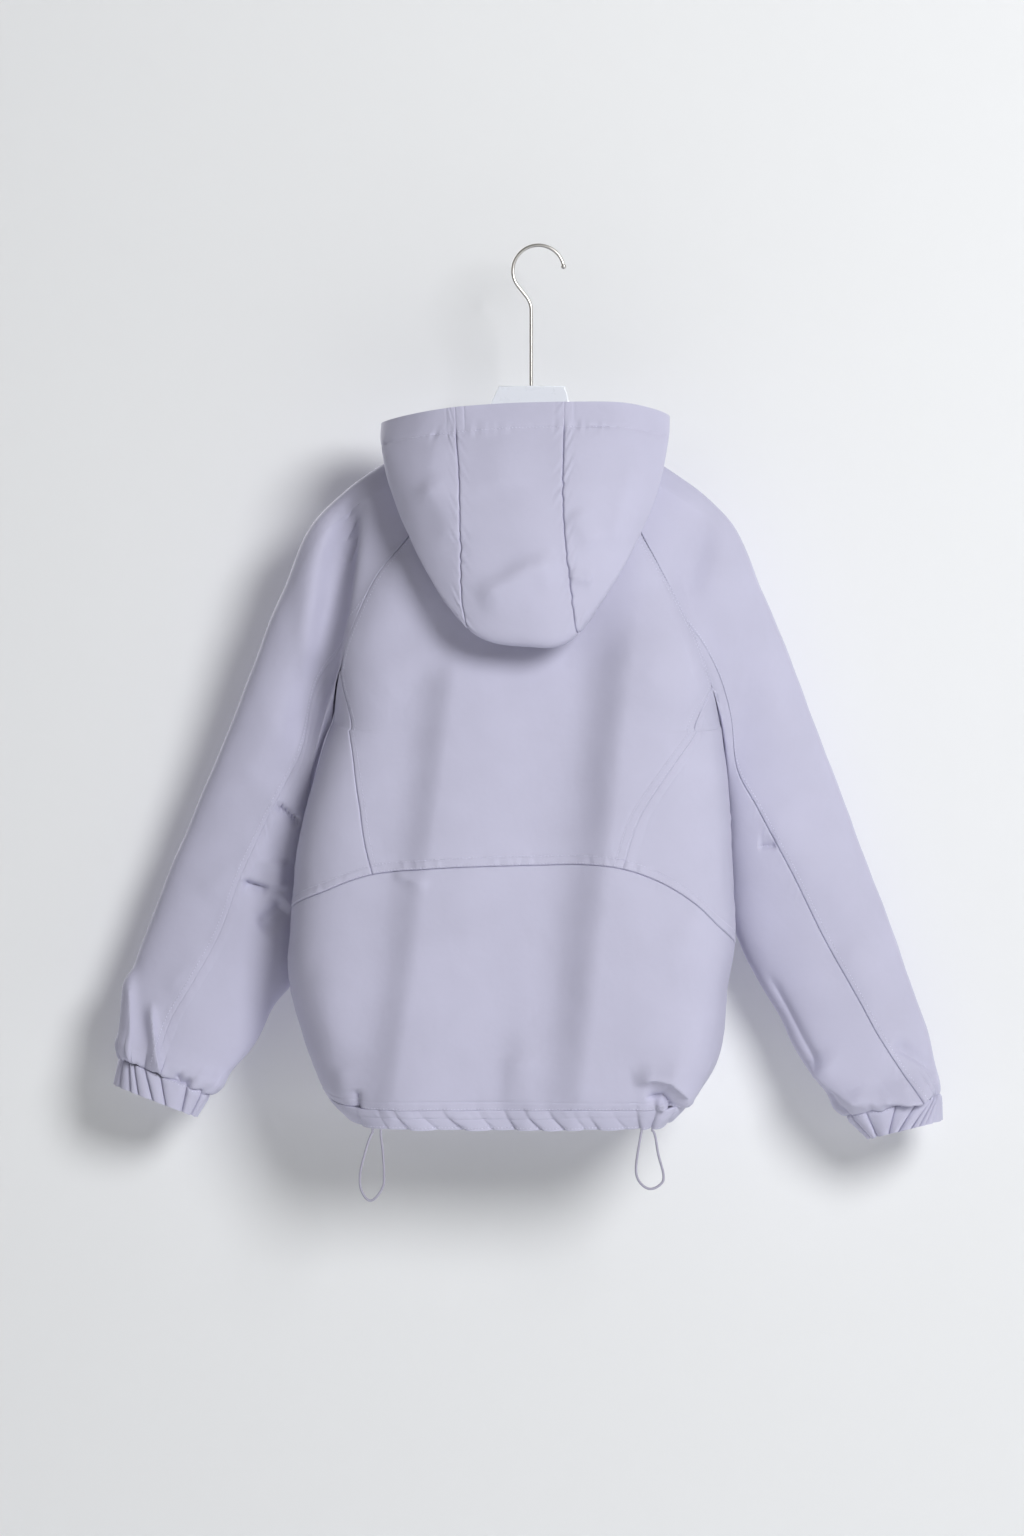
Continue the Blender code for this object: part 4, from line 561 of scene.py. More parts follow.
# Creases, each with the width of its left and right side (seen along its route), its height
# (negative for a trough) and its route in x and z
CREASE_TAPER = 0.25
CRISP_WIDTH = 0.006
CREASES = {
    "body_back": [
        (0.005, 0.008, 0.0034, (-0.146, -0.626), (-0.128, -0.633), (-0.110, -0.642)),
        (0.016, 0.022, 0.0020, (-0.168, -0.450), (-0.092, -0.392)),
        (0.014, 0.018, 0.0016, (0.150, -0.470), (0.098, -0.420)),
        (0.016, 0.024, 0.0018, (0.176, -0.640), (0.150, -0.690), (0.120, -0.735)),
        (0.014, 0.020, 0.0022, (-0.214, -0.700), (-0.208, -0.760), (-0.196, -0.820)),
        (0.010, 0.016, 0.0030, (-0.024, -0.800), (-0.026, -0.835), (-0.030, -0.862)),
        (0.0034, 0.013, 0.0100, (0.092, -0.836), (0.112, -0.829), (0.130, -0.832), (0.142, -0.845),
         (0.138, -0.866)),
        (0.0050, 0.0040, -0.0090, (0.104, -0.848), (0.122, -0.845), (0.132, -0.855), (0.128, -0.866)),
        (0.004, 0.003, 0.0050, (0.114, -0.856), (0.124, -0.853), (0.122, -0.866)),
        (0.012, 0.010, 0.0030, (0.176, -0.800), (0.164, -0.830), (0.154, -0.852)),
        (0.005, 0.0028, -0.0060, (-0.181, -0.838), (-0.180, -0.868)),
        (0.008, 0.010, 0.0018, (-0.196, -0.815), (-0.192, -0.852)),
    ],
    "body_front": [
        (0.012, 0.020, 0.0045, (-0.160, -0.480), (-0.120, -0.430), (-0.080, -0.395)),
        (0.012, 0.018, 0.0042, (0.150, -0.485), (0.112, -0.432), (0.076, -0.400)),
        (0.020, 0.034, -0.0060, (-0.112, -0.470), (-0.124, -0.600), (-0.138, -0.740), (-0.146, -0.850)),
        (0.030, 0.020, -0.0055, (0.092, -0.450), (0.104, -0.590), (0.098, -0.720), (0.088, -0.840)),
        (0.010, 0.018, 0.0038, (-0.066, -0.560), (-0.080, -0.640), (-0.084, -0.700)),
        (0.014, 0.022, 0.0045, (-0.200, -0.640), (-0.182, -0.700), (-0.150, -0.760)),
        (0.016, 0.022, 0.0042, (0.160, -0.600), (0.140, -0.660), (0.112, -0.720)),
        (0.008, 0.014, 0.0030, (0.050, -0.640), (0.058, -0.700), (0.054, -0.770)),
        (0.008, 0.012, 0.0022, (-0.120, -0.800), (-0.124, -0.850)),
        (0.009, 0.012, 0.0020, (0.082, -0.795), (0.078, -0.848)),
    ],
    "sleeves_back": [
        (0.020, 0.0065, -0.0105, (-0.187, -0.225), (-0.189, -0.290), (-0.194, -0.330), (-0.202, -0.380),
         (-0.211, -0.425), (-0.222, -0.465)),
        (0.030, 0.012, -0.0070, (-0.212, -0.400), (-0.228, -0.455), (-0.244, -0.505), (-0.264, -0.560)),
        (0.0055, 0.0018, -0.0085, (-0.2640, -0.5560), (-0.252, -0.564), (-0.236, -0.576)),
        (0.0055, 0.0018, -0.0085, (-0.2970, -0.6330), (-0.286, -0.637), (-0.268, -0.642)),
        (0.016, 0.022, 0.0026, (-0.268, -0.590), (-0.340, -0.655)),
        (0.018, 0.026, 0.0022, (-0.250, -0.470), (-0.300, -0.540)),
        (0.013, 0.0034, 0.0088, (-0.4056, -0.712), (-0.4052, -0.765), (-0.4034, -0.838)),
        (0.007, 0.0026, 0.0080, (-0.3866, -0.752), (-0.3830, -0.790), (-0.3764, -0.842)),
        (0.009, 0.010, -0.0075, (-0.250, -0.655), (-0.264, -0.668), (-0.282, -0.682)),
        (0.012, 0.009, 0.0050, (-0.262, -0.610), (-0.262, -0.645)),
        (0.0055, 0.0034, -0.0075, (-0.3640, -0.826), (-0.3560, -0.8345), (-0.3470, -0.8340)),
        (0.012, 0.018, 0.0020, (-0.330, -0.700), (-0.372, -0.750)),
        (0.0018, 0.0055, -0.0055, (0.219, -0.6000), (0.230, -0.5995), (0.2396, -0.5990)),
        (0.016, 0.022, 0.0024, (0.222, -0.560), (0.286, -0.640)),
        (0.018, 0.026, 0.0020, (0.214, -0.450), (0.262, -0.520)),
        (0.0045, 0.011, -0.0062, (0.350, -0.797), (0.378, -0.812), (0.404, -0.830)),
        (0.004, 0.007, -0.0040, (0.226, -0.722), (0.254, -0.776), (0.286, -0.836)),
        (0.0040, 0.024, 0.0080, (0.268, -0.815), (0.292, -0.839), (0.312, -0.853), (0.334, -0.864)),
        (0.0050, 0.006, -0.0050, (0.272, -0.832), (0.298, -0.856), (0.318, -0.870)),
        (0.004, 0.012, -0.0035, (0.366, -0.836), (0.371, -0.866)),
        (0.012, 0.018, 0.0022, (0.300, -0.700), (0.346, -0.760)),
    ],
    "sleeves_front": [
        (0.010, 0.018, 0.0048, (-0.262, -0.592), (-0.300, -0.622), (-0.340, -0.640)),
        (0.014, 0.022, 0.0042, (-0.250, -0.495), (-0.304, -0.565)),
        (0.010, 0.004, -0.0050, (-0.398, -0.735), (-0.400, -0.780), (-0.396, -0.832)),
        (0.008, 0.004, -0.0045, (-0.362, -0.765), (-0.366, -0.838)),
        (0.010, 0.018, 0.0048, (0.222, -0.582), (0.256, -0.624), (0.294, -0.652)),
        (0.014, 0.022, 0.0042, (0.210, -0.485), (0.266, -0.565)),
        (0.008, 0.004, -0.0045, (0.308, -0.780), (0.336, -0.858)),
        (0.004, 0.010, -0.0045, (0.362, -0.785), (0.376, -0.856)),
    ],
    "hood": [
        (0.011, 0.020, 0.0066, (0.024, -0.316), (-0.010, -0.326), (-0.040, -0.344), (-0.066, -0.356)),
        (0.0036, 0.008, 0.0046, (0.027, -0.331), (0.040, -0.336), (0.054, -0.337)),
        (0.014, 0.020, 0.0030, (-0.098, -0.190), (-0.104, -0.230), (-0.108, -0.262)),
        (0.012, 0.020, 0.0034, (0.096, -0.215), (0.084, -0.260), (0.070, -0.310)),
        (0.018, 0.022, 0.0018, (-0.040, -0.190), (-0.036, -0.250)),
        (0.013, 0.020, 0.0034, (-0.116, -0.236), (-0.096, -0.262), (-0.082, -0.300)),
        (0.009, 0.014, 0.0030, (0.030, -0.268), (0.046, -0.290), (0.056, -0.305)),
    ],
}
TUCK_ACROSS, TUCK_RISE = (0.36, 0.72), 0.24
FACE_FADE = 2.5
UNEVEN_HEIGHT = 0.0006
# The waves of free cloth: each one's share, then twice how it runs with x and z and where it starts
WAVES = ((1.0, (41, 23, 1.3), (-11, 37, 0.4)), (0.6, (83, -57, 0), (29, 71, 2.1)))

# The hood's left seam bends less than its solid's, and both seams wander a little
HOOD_SEAM_LEFT = {
    "rise": (0.0, 0.55, 0.60, 0.66, 0.72, 0.76, 0.81, 0.86, 0.90, 0.95, 1.0),
    "place": (1.0, 1.0, 0.955, 0.95, 0.86, 0.79, 0.76, 0.79, 0.856, 0.975, 1.06),
}
HOOD_JAG, HOOD_JAG_ENDS, HOOD_JAG_CHANGE, HOOD_JAG_LENGTH = 0.018, (0.6, 0.93), 0.1, 0.5
HOOD_RIM, HOOD_OUTSIDE, HOOD_CREASE_START, HOOD_CREASE_CHANGE = 0.030, 0.5, 0.58, 0.08

# Pleats: the places of the slits between them, and how high they puff. On a cuff a place is a part of a
# turn from its outer line, by the back.
CUFF_PLEATS = {
    "left": (0.045, 0.088, 0.152, 0.187, 0.245, 0.297, 0.372, 0.432, 0.485, 0.545, 0.590, 0.672, 0.715, 0.790,
             0.838, 0.905, 0.958),
    "right": (0.036, 0.118, 0.160, 0.192, 0.228, 0.285, 0.332, 0.398, 0.452, 0.520, 0.578, 0.628, 0.702,
              0.748, 0.822, 0.880, 0.950),
}
CUFF_PUFF, CUFF_PUFF_LEVEL, CUFF_PUFF_FADE = 0.0046, 0.5, 0.013
CUFF_BLOUSE, CUFF_BLOUSE_PLACE, CUFF_BLOUSE_WIDTH = 0.0045, 0.014, 0.011
CUFF_JAG, CUFF_JAG_FADE, CUFF_LENGTH, SLEEVE_END_START = 0.0022, 0.010, 0.27, 0.9
SLIT_STOPS = np.array((-0.0080, -0.0040, -0.0016, 0, 0.0016, 0.0040, 0.0080))
# The right sleeve bags over its cuff: where on the ring and above the cuff, how wide, how far down and out
OVERHANG_AROUND, OVERHANG_AROUND_WIDTH, OVERHANG_ABOVE, OVERHANG_ABOVE_WIDTH = 0.290, 0.064, 0.011, 0.008
OVERHANG_DOWN, OVERHANG_OUT = 0.016, 0.007
# On its outer line the right sleeve runs straight into the cuff
STRAIGHT_SHARE, STRAIGHT_WIDTH = 0.75, 0.13
# Each slit's x at the casing's top and at its edge, and how much the cloth puffs to its right
HEM_PLEATS = {
    "back": (
        (-0.215, -0.214, 0.2), (-0.181, -0.176, 0.5), (-0.160, -0.150, 0.3), (-0.143, -0.128, 0.8),
        (-0.119, -0.100, 0.4), (-0.095, -0.073, 1.0), (-0.059, -0.045, 0.6), (-0.033, -0.022, 0.9),
        (-0.014, 0.003, 1.0), (0.010, 0.026, 0.7), (0.034, 0.046, 0.3), (0.049, 0.060, 0.6),
        (0.073, 0.087, 0.3), (0.098, 0.101, 0.7), (0.117, 0.112, 1.0), (0.136, 0.128, 0.6),
        (0.152, 0.144, 0.3), (0.170, 0.165, 0.2),
    ),
    "front": (
        (-0.200, -0.198, 0.3), (-0.176, -0.166, 0.6), (-0.150, -0.156, 0.4), (-0.121, -0.112, 0.9),
        (-0.098, -0.104, 0.5), (-0.071, -0.060, 0.8), (-0.047, -0.052, 0.6), (-0.024, -0.018, 0.3),
        (0.012, 0.018, 0.7), (0.036, 0.030, 0.5), (0.058, 0.068, 0.9), (0.083, 0.078, 0.4),
        (0.106, 0.116, 0.8), (0.131, 0.124, 0.5), (0.154, 0.150, 0.3),
    ),
}
HEM_PUFF, HEM_PUFF_LEVEL, HEM_PUFF_FADE, HEM_PUFF_TOP = 0.0050, 0.35, 0.008, 0.45
PUFF_ROUNDING, PUFF_SKEW = 0.5, 0.65

# Zip teeth
TOOTH_SIZE = (0.0030, 0.0016, 0.0011)
TOOTH_PITCH = 0.0020
TOOTH_REACH = 0.0014
BOX_FACES = ((0, 1, 3, 2), (4, 6, 7, 5), (0, 4, 5, 1), (2, 3, 7, 6), (0, 2, 6, 4), (1, 5, 7, 3))

panels = {}


def merged(*places):
    """All these places in their order, each once."""
    return np.unique(np.concatenate(places))


def spaced(length, step, rim=False):
    """Places from 0 to 1 along a length, closer together at its ends, where the seams are."""
    ends = EDGE_STOPS[EDGE_STOPS < length / 3] / length
    middle = np.linspace(ends[-1], 1 - ends[-1], max(int(length / step), 4))[1:-1]
    places = np.concatenate([ends, middle, 1 - ends[::-1]])
    return merged(places, 1 - RIM_STOPS / length) if rim else places


def lengths(points, axis):
    """The running length along one direction of a grid."""
    steps = np.linalg.norm(np.diff(points, axis=axis), axis=-1)
    start = np.zeros_like(np.take(steps, [0], axis=axis))
    return np.cumsum(np.concatenate([start, steps], axis=axis), axis=axis)


def uneven(place, seed):
    """An uneven wave along a seam."""
    turn = 2 * np.pi * place
    wave = sum(share * np.sin(turn / length + seed * length * PUCKER_SHIFT) for length, share in PUCKER_WAVES)
    drift = np.sin(turn / PUCKER_DRIFT + PUCKER_DRIFT_SHIFT * seed)
    return wave * (1 - PUCKER_DRIFT_SHARE + PUCKER_DRIFT_SHARE * drift)


def seam_height(distance, along, style, seed):
    """How a seam moves the cloth beside it: a dip, a raised band under the topstitching, and puckers."""
    form = SEAM_STYLES[style]
    dip = -form["dip"] * np.exp(-distance / form["dip_width"])
    band = form["band"] / (1 + np.exp(np.clip((distance - BAND_WIDTH) / BAND_EDGE, -30, 30)))
    beside = np.exp(-(((distance - PUCKER_PLACE) / PUCKER_WIDTH) ** 2))
    groove = -form["groove"] * np.exp(-np.abs(distance - FELL_STITCH) / GROOVE_WIDTH)
    return dip + band + groove + form["pucker"] * uneven(along, seed) * beside


def crease_height(name, points, normals, face):
    """The height of the creases on the side of the cloth that faces -Y (face -1) or +Y (face 1)."""
    x, z = points[..., 0], points[..., 2]
    height = np.zeros(x.shape)
    for left, right, rise, *route in CREASES[name]:
        steps = np.diff(np.array(route), axis=0)
        run = np.concatenate([[0], np.cumsum(np.linalg.norm(steps, axis=1))])
        signed, place = np.full(x.shape, np.inf), np.zeros(x.shape)
        for start, step, begun, length in zip(route, steps, run, np.diff(run)):
            share = np.clip(((x - start[0]) * step[0] + (z - start[1]) * step[1]) / length ** 2, 0, 1)
            off_x, off_z = x - start[0] - share * step[0], z - start[1] - share * step[1]
            gap = np.hypot(off_x, off_z)
            closer = gap < np.abs(signed)
            signed = np.where(closer, gap * np.where(off_z * step[0] < off_x * step[1], -1, 1), signed)
            place = np.where(closer, (begun + share * length) / run[-1], place)
        taper = np.clip(np.minimum(place, 1 - place) / CREASE_TAPER, 0, 1)
        width = np.where(signed < 0, left, right)
        fall = (np.abs(signed) / width) ** np.where(width < CRISP_WIDTH, 1, 2)
        height = height + rise * taper ** 2 * (3 - 2 * taper) * np.exp(-fall)
    return height * np.clip(face * normals[..., 1] * FACE_FADE, 0, 1)


def puff(place, slits, amounts=1.0):
    """How far the cloth puffs out between the slits of its pleats, from 0 to 1."""
    i = np.clip(np.searchsorted(slits, place, side="right") - 1, 0, len(slits) - 2)
    share = np.clip((place - slits[i]) / (slits[i + 1] - slits[i]), 0, 1)
    return np.broadcast_to(amounts, slits.shape)[i] * np.sin(np.pi * share ** PUFF_SKEW) ** PUFF_ROUNDING


def cuff_puff(side, around):
    """The puff of the cuff's pleats, about its middle height."""
    slits = np.array(CUFF_PLEATS[side])
    all_round = np.concatenate([slits[-1:] - 1, slits, slits[:1] + 1])
    return CUFF_PUFF * (puff(around, all_round) - CUFF_PUFF_LEVEL)


def to_cuff(side, around):
    """The direction of the sleeve's cloth as it reaches the cuff."""
    return unit(sleeve(side, around, 1.0) - sleeve(side, around, SLEEVE_END_START))


def cuff_jag(side, around, share):
    """How the seam between sleeve and cuff runs unevenly up and down."""
    jag = CUFF_JAG * uneven(around * CUFF_LENGTH, len(side)) * share
    return jag[..., None] * to_cuff(side, around)


def slight_waves(points):
    """The small unevenness of cloth that hangs free."""
    x, z = points[..., 0], points[..., 2]
    height = 0.0
    for share, *runs in WAVES:
        first, second = [np.sin(by_x * x + by_z * z + start) for by_x, by_z, start in runs]
        height = height + share * first * second
    return UNEVEN_HEIGHT * height


def placed(name, data):
    """A new object in the scene."""
    made = bpy.data.objects.new(name, data)
    bpy.context.scene.collection.objects.link(made)
    return made


def along_line(values, run, places):
    """The values of a line's points at these places of its running length."""
    return np.stack([np.interp(places, run, values[:, axis]) for axis in range(3)], axis=-1)


def shell_object(name, outer, normals, thickness, closed_ring=False):
    """A thin closed shell: the outer points, the inner points, and a rim along its open edges."""
    rows, columns = outer.shape[:2]
    count = rows * columns
    vertices = np.concatenate([outer.reshape(-1, 3), (outer - normals * thickness).reshape(-1, 3)])
    index = np.arange(count).reshape(rows, columns)
    if closed_ring:
        index = np.concatenate([index, index[:, :1]], axis=1)
        loops = [index[0], index[-1, ::-1]]
    else:
        loops = [np.concatenate([index[0, :-1], index[:-1, -1], index[-1, :0:-1], index[::-1, 0]])]
    outside = np.stack([index[:-1, :-1], index[:-1, 1:], index[1:, 1:], index[1:, :-1]], axis=-1)
    outside = outside.reshape(-1, 4)
    rims = [np.stack([loop[1:], loop[:-1], loop[:-1] + count, loop[1:] + count], axis=-1) for loop in loops]
    faces = np.concatenate([outside, outside[:, ::-1] + count, *rims])
    corners = vertices[outside]
    facing = np.cross(corners[:, 1] - corners[:, 0], corners[:, 3] - corners[:, 0])
    if (facing * normals.reshape(-1, 3)[outside[:, 0] % count]).sum() < 0:
        faces = faces[:, ::-1]
    mesh = bpy.data.meshes.new(name)
    mesh.from_pydata(vertices.tolist(), [], faces.tolist())
    return smooth_object(name, mesh)


def smooth_object(name, mesh):
    mesh.shade_smooth()
    mesh.set_sharp_from_angle(angle=SHARP_ANGLE)
    return placed(name, mesh)


def dress(made, slot, finish, *nodes):
    """Gives a piece its material and its body, and hides the nodes it stands for. The slot is not used."""
    made.data.materials.clear()
    made.data.materials.append(finish)
    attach(made, "jacket")
    if nodes:
        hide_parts(*nodes)
    return made


def panel(node, points, normals, height, seams, thickness=SHELL, closed_ring=False):
    """A cloth panel in place of its node, with its creases and its seams."""
    up, over = lengths(points, 0), lengths(points, 1)
    distances = {"low": up, "high": up[-1:] - up, "left": over, "right": over[:, -1:] - over}
    for number, (side, style) in enumerate(seams.items()):
        along = over if side in ("low", "high") else up
        low, high, change = (style, style, 0) if isinstance(style, str) else style
        change = change if change >= 0 else up[-1:] + change
        share = np.clip((along - change) / SEAM_CHANGE_LENGTH, 0, 1)
        seed = len(node) + number
        height = height + (1 - share) * seam_height(distances[side], along, low, seed)
        height = height + share * seam_height(distances[side], along, high, seed)
    outer = points + normals * height[..., None]
    made = shell_object(f"cloth_{node}", outer, normals, thickness, closed_ring)
    dress(made, "shell_cloth", materials["cloth"], node)
    panels[node] = {"object": made, "outer": outer, "normals": normals, "distances": distances}


def side_seam(seam, end):
    """The side-back seam's place across for a row, up to where it runs out at the raglan."""
    def across(row):
        below = smooth(row, seam["row"], seam["across"])
        share = np.clip((row - SIDE_BACK_TOP_ROW) / SIDE_SEAM_RUN_OUT, 0, 1)
        return below + (end - below) * share
    return across


def body_panel(node, half, across, row, seams_of, height=0.0):
    """A panel of the back or the front, with the creases of that side."""
    points, normals = torso(half, across, row), torso_normal(half, across, row)
    face = -1 if half == "back" else 1
    height = height + crease_height(f"body_{half}", points, normals, face) + slight_waves(points)
    panel(node, points, normals, height, seams_of)


def make_back():
    seams = {"left": side_seam(SIDE_BACK_LEFT, -1.0), "right": side_seam(SIDE_BACK_RIGHT, 1.0)}
    corners = {"left": SIDE_BACK_LEFT["across"][0], "right": SIDE_BACK_RIGHT["across"][0]}

    def yoke_rows(across, rise):
        yoke_row = smooth(across, YOKE["across"], YOKE["row"])
        return yoke_row + (UNDERARM_ROW - yoke_row) * rise

    lower = spaced(YOKE_TO_UNDERARM, STEP_BACK)[:, None]
    raglan_rows = UNDERARM_ROW + (NECK_ROW - UNDERARM_ROW) * spaced(RAGLAN_LENGTH, STEP_BACK)[1:, None]
    share = spaced(UPPER_WIDTH, STEP_BACK)[None, :]
    at_yoke = corners["left"] + (corners["right"] - corners["left"]) * share
    row = np.concatenate([yoke_rows(at_yoke, lower), np.repeat(raglan_rows, share.size, axis=1)])
    across = seams["left"](row) + (seams["right"](row) - seams["left"](row)) * share
    right = ("soft", "plain", SOFT_SEAM_END)
    seams_of = {"low": "felled", "left": "plain", "right": right, "high": "plain"}
    body_panel("back_upper", "back", across, row, seams_of)

    top_rows = UNDERARM_ROW + (SIDE_BACK_TOP_ROW - UNDERARM_ROW) * spaced(SIDE_TOP, STEP_BACK)[1:, None]
    for side, end in SIDE_ENDS:
        share = spaced(SIDE_WIDTH, STEP_BACK)[None, :]
        at_yoke = corners[side] + (end - corners[side]) * share
        row = np.concatenate([yoke_rows(at_yoke, lower), np.repeat(top_rows, share.size, axis=1)])
        across = seams[side](row) + (end - seams[side](row)) * share
        seam = "plain" if side == "left" else "soft"
        seams_of = {"low": "felled", "left": seam, "right": "plain"}
        body_panel(f"back_side_{side}", "back", across, row, seams_of)

    across = merged(2 * spaced(LOWER_WIDTH, STEP_BACK) - 1, np.linspace(*TUCK_ACROSS, TUCK_COLUMNS))[None, :]
    rise = merged(spaced(LOWER_HEIGHT, STEP_BACK), np.linspace(TUCK_START, TUCK_RISE, TUCK_LEVELS))[:, None]
    row = CASING_ROW + (smooth(across, YOKE["across"], YOKE["row"]) - CASING_ROW) * rise
    across = np.broadcast_to(across, row.shape)
    folds = hem_folds("back", across, row)
    body_panel("back_lower", "back", across, row, {"high": "plain", "low": "soft"}, folds)


def hem_puff(half, points, row):
    """The puff of the hem's pleats, which slant from the casing's top to its edge."""
    top, low, amounts = np.array(HEM_PLEATS[half]).T
    height = np.zeros(row.shape)
    for i, fall in enumerate(np.clip(CASING_ROW - row, 0, 1).mean(axis=1)):
        strength = HEM_PUFF_TOP + (1 - HEM_PUFF_TOP) * fall
        height[i] = puff(points[i, :, 0], top + (low - top) * fall, amounts) * strength
    return HEM_PUFF * (height - HEM_PUFF_LEVEL)


def hem_folds(half, across, row):
    """The start of the hem's pleats in the cloth above the casing."""
    points = torso(half, across, row)
    return hem_puff(half, points, row) * np.exp(-lengths(points, 0) / HEM_PUFF_FADE)


def make_fronts():
    row = CASING_ROW + (NECK_ROW - CASING_ROW) * spaced(FRONT_HEIGHT, STEP_FRONT)[:, None]
    for side, end in SIDE_ENDS:
        start = end * zip_across(row, ZIP_GAP_HALF)
        across = start + (end - start) * spaced(FRONT_WIDTH, STEP_FRONT)[None, :]
        rows = np.broadcast_to(row, across.shape)
        seams_of = {"left": "felled", "right": "felled", "low": "plain", "high": "plain"}
        body_panel(f"front_{side}", "front", across, rows, seams_of, hem_folds("front", across, rows))


def make_casings():
    rise = (HEM_ROW + (CASING_ROW - HEM_ROW) * spaced(CASING_RISE, STEP_BAND))[:, None]
    pieces = [("hem_casing_back", "back", np.linspace(-1, 1, int(CASING_BACK_WIDTH / STEP_BAND))[None, :])]
    for side, end in SIDE_ENDS:
        start = end * zip_across(np.array(0.5), ZIP_GAP_HALF + CASING_ZIP_GAP)
        across = start + (end - start) * np.linspace(0, 1, int(CASING_FRONT_WIDTH / STEP_BAND))
        pieces.append((f"hem_casing_front_{side}", "front", across[None, :]))
    for node, half, across in pieces:
        across, row = np.broadcast_arrays(across, rise)
        points, normals = torso(half, across, row), torso_normal(half, across, row, CASING_ROW)
        panel(node, points, normals, hem_puff(half, points, row), {"high": "soft"}, thickness=HEM_SHELL)


def make_cuff(side):
    slits = (np.array(CUFF_PLEATS[side])[:, None] + SLIT_STOPS).ravel()
    around = merged(np.linspace(0, 1, int(CUFF_LENGTH / STEP_CUFF), endpoint=False), slits)[None, :]
    around_grid, rise = np.broadcast_arrays(around, spaced(CUFF_RISE, STEP_BAND)[:, None])
    normals = normals_of(partial(cuff, side), side == "left", around_grid, rise, None, (0, 1))
    points = cuff(side, around_grid, rise) + cuff_jag(side, around_grid, 1 - rise)
    height = cuff_puff(side, around_grid)
    panel(f"cuff_{side}", points, normals, height, {"low": "gathered"}, HEM_SHELL, closed_ring=True)


def make_sleeves():
    fine_end = np.linspace(*SLEEVE_END_ALONG, int(SLEEVE_END_LENGTH / STEP_SLEEVE_FINE))
    upper_rows = merged(spaced(SLEEVE_LENGTH, STEP_SLEEVE), fine_end)
    under_rows = merged(upper_rows, np.linspace(*DARTS_ALONG, int(DARTS_LENGTH / STEP_DARTS)))
    seam = NECK_SHARE + (NECK_ROW - SEAM_ROW) / (NECK_ROW - UNDERARM_ROW) * (0.5 - NECK_SHARE)
    neck = np.linspace(-NECK_SHARE, NECK_SHARE, NECK_STEPS)[1:-1]
    back = NECK_SHARE + (seam - NECK_SHARE) * spaced(SLEEVE_UPPER_HALF, STEP_BACK)
    front = -NECK_SHARE - (seam - NECK_SHARE) * spaced(SLEEVE_UPPER_HALF, STEP_SLEEVE_FRONT)
    under_back = seam + (0.5 - seam) * spaced(SLEEVE_UNDER_HALF, STEP_SLEEVE_FINE)[:-1]
    under_front = 0.5 + (0.5 - seam) * spaced(SLEEVE_UNDER_HALF, STEP_SLEEVE_FRONT)
    pieces = {
        "upper": (np.concatenate([front[::-1], neck, back]), upper_rows),
        "under": (np.concatenate([under_back, under_front]), under_rows),
    }
    for side in ("left", "right"):
        for piece, (around, along) in pieces.items():
            around_grid, along_grid = np.broadcast_arrays(np.mod(around, 1)[None, :], along[:, None])
            points = sleeve(side, around_grid, along_grid)
            normals = normals_of(partial(sleeve, side), side == "left", around_grid, along_grid, None, (0, 1))
            above = lengths(points, 0)
            above = above[-1:] - above
            blouse = np.exp(-((above - CUFF_BLOUSE_PLACE) / CUFF_BLOUSE_WIDTH) ** 2)
            height = crease_height("sleeves_back", points, normals, -1) + slight_waves(points)
            height = height + crease_height("sleeves_front", points, normals, 1) + CUFF_BLOUSE * blouse
            height = height + cuff_puff(side, around_grid) * np.exp(-above / CUFF_PUFF_FADE)
            if side == "right":
                from_outer = np.minimum(around_grid, 1 - around_grid)
                straight = STRAIGHT_SHARE * np.exp(-(from_outer / STRAIGHT_WIDTH) ** 2)
                height = height - CUFF_BLOUSE * blouse * straight
                reach = np.exp(-((around_grid - OVERHANG_AROUND) / OVERHANG_AROUND_WIDTH) ** 2)
                reach = reach * np.exp(-((above - OVERHANG_ABOVE) / OVERHANG_ABOVE_WIDTH) ** 2)
                points = points + to_cuff(side, around_grid) * (OVERHANG_DOWN * reach)[..., None]
                height = height + OVERHANG_OUT * reach
            points = points + cuff_jag(side, around_grid, np.exp(-above / CUFF_JAG_FADE))
            edge = "faint" if side == "left" else "plain"
            panel(f"sleeve_{piece}_{side}", points, normals, height,
                  {"left": edge, "right": edge, "low": "plain", "high": "gathered"})
        make_cuff(side)


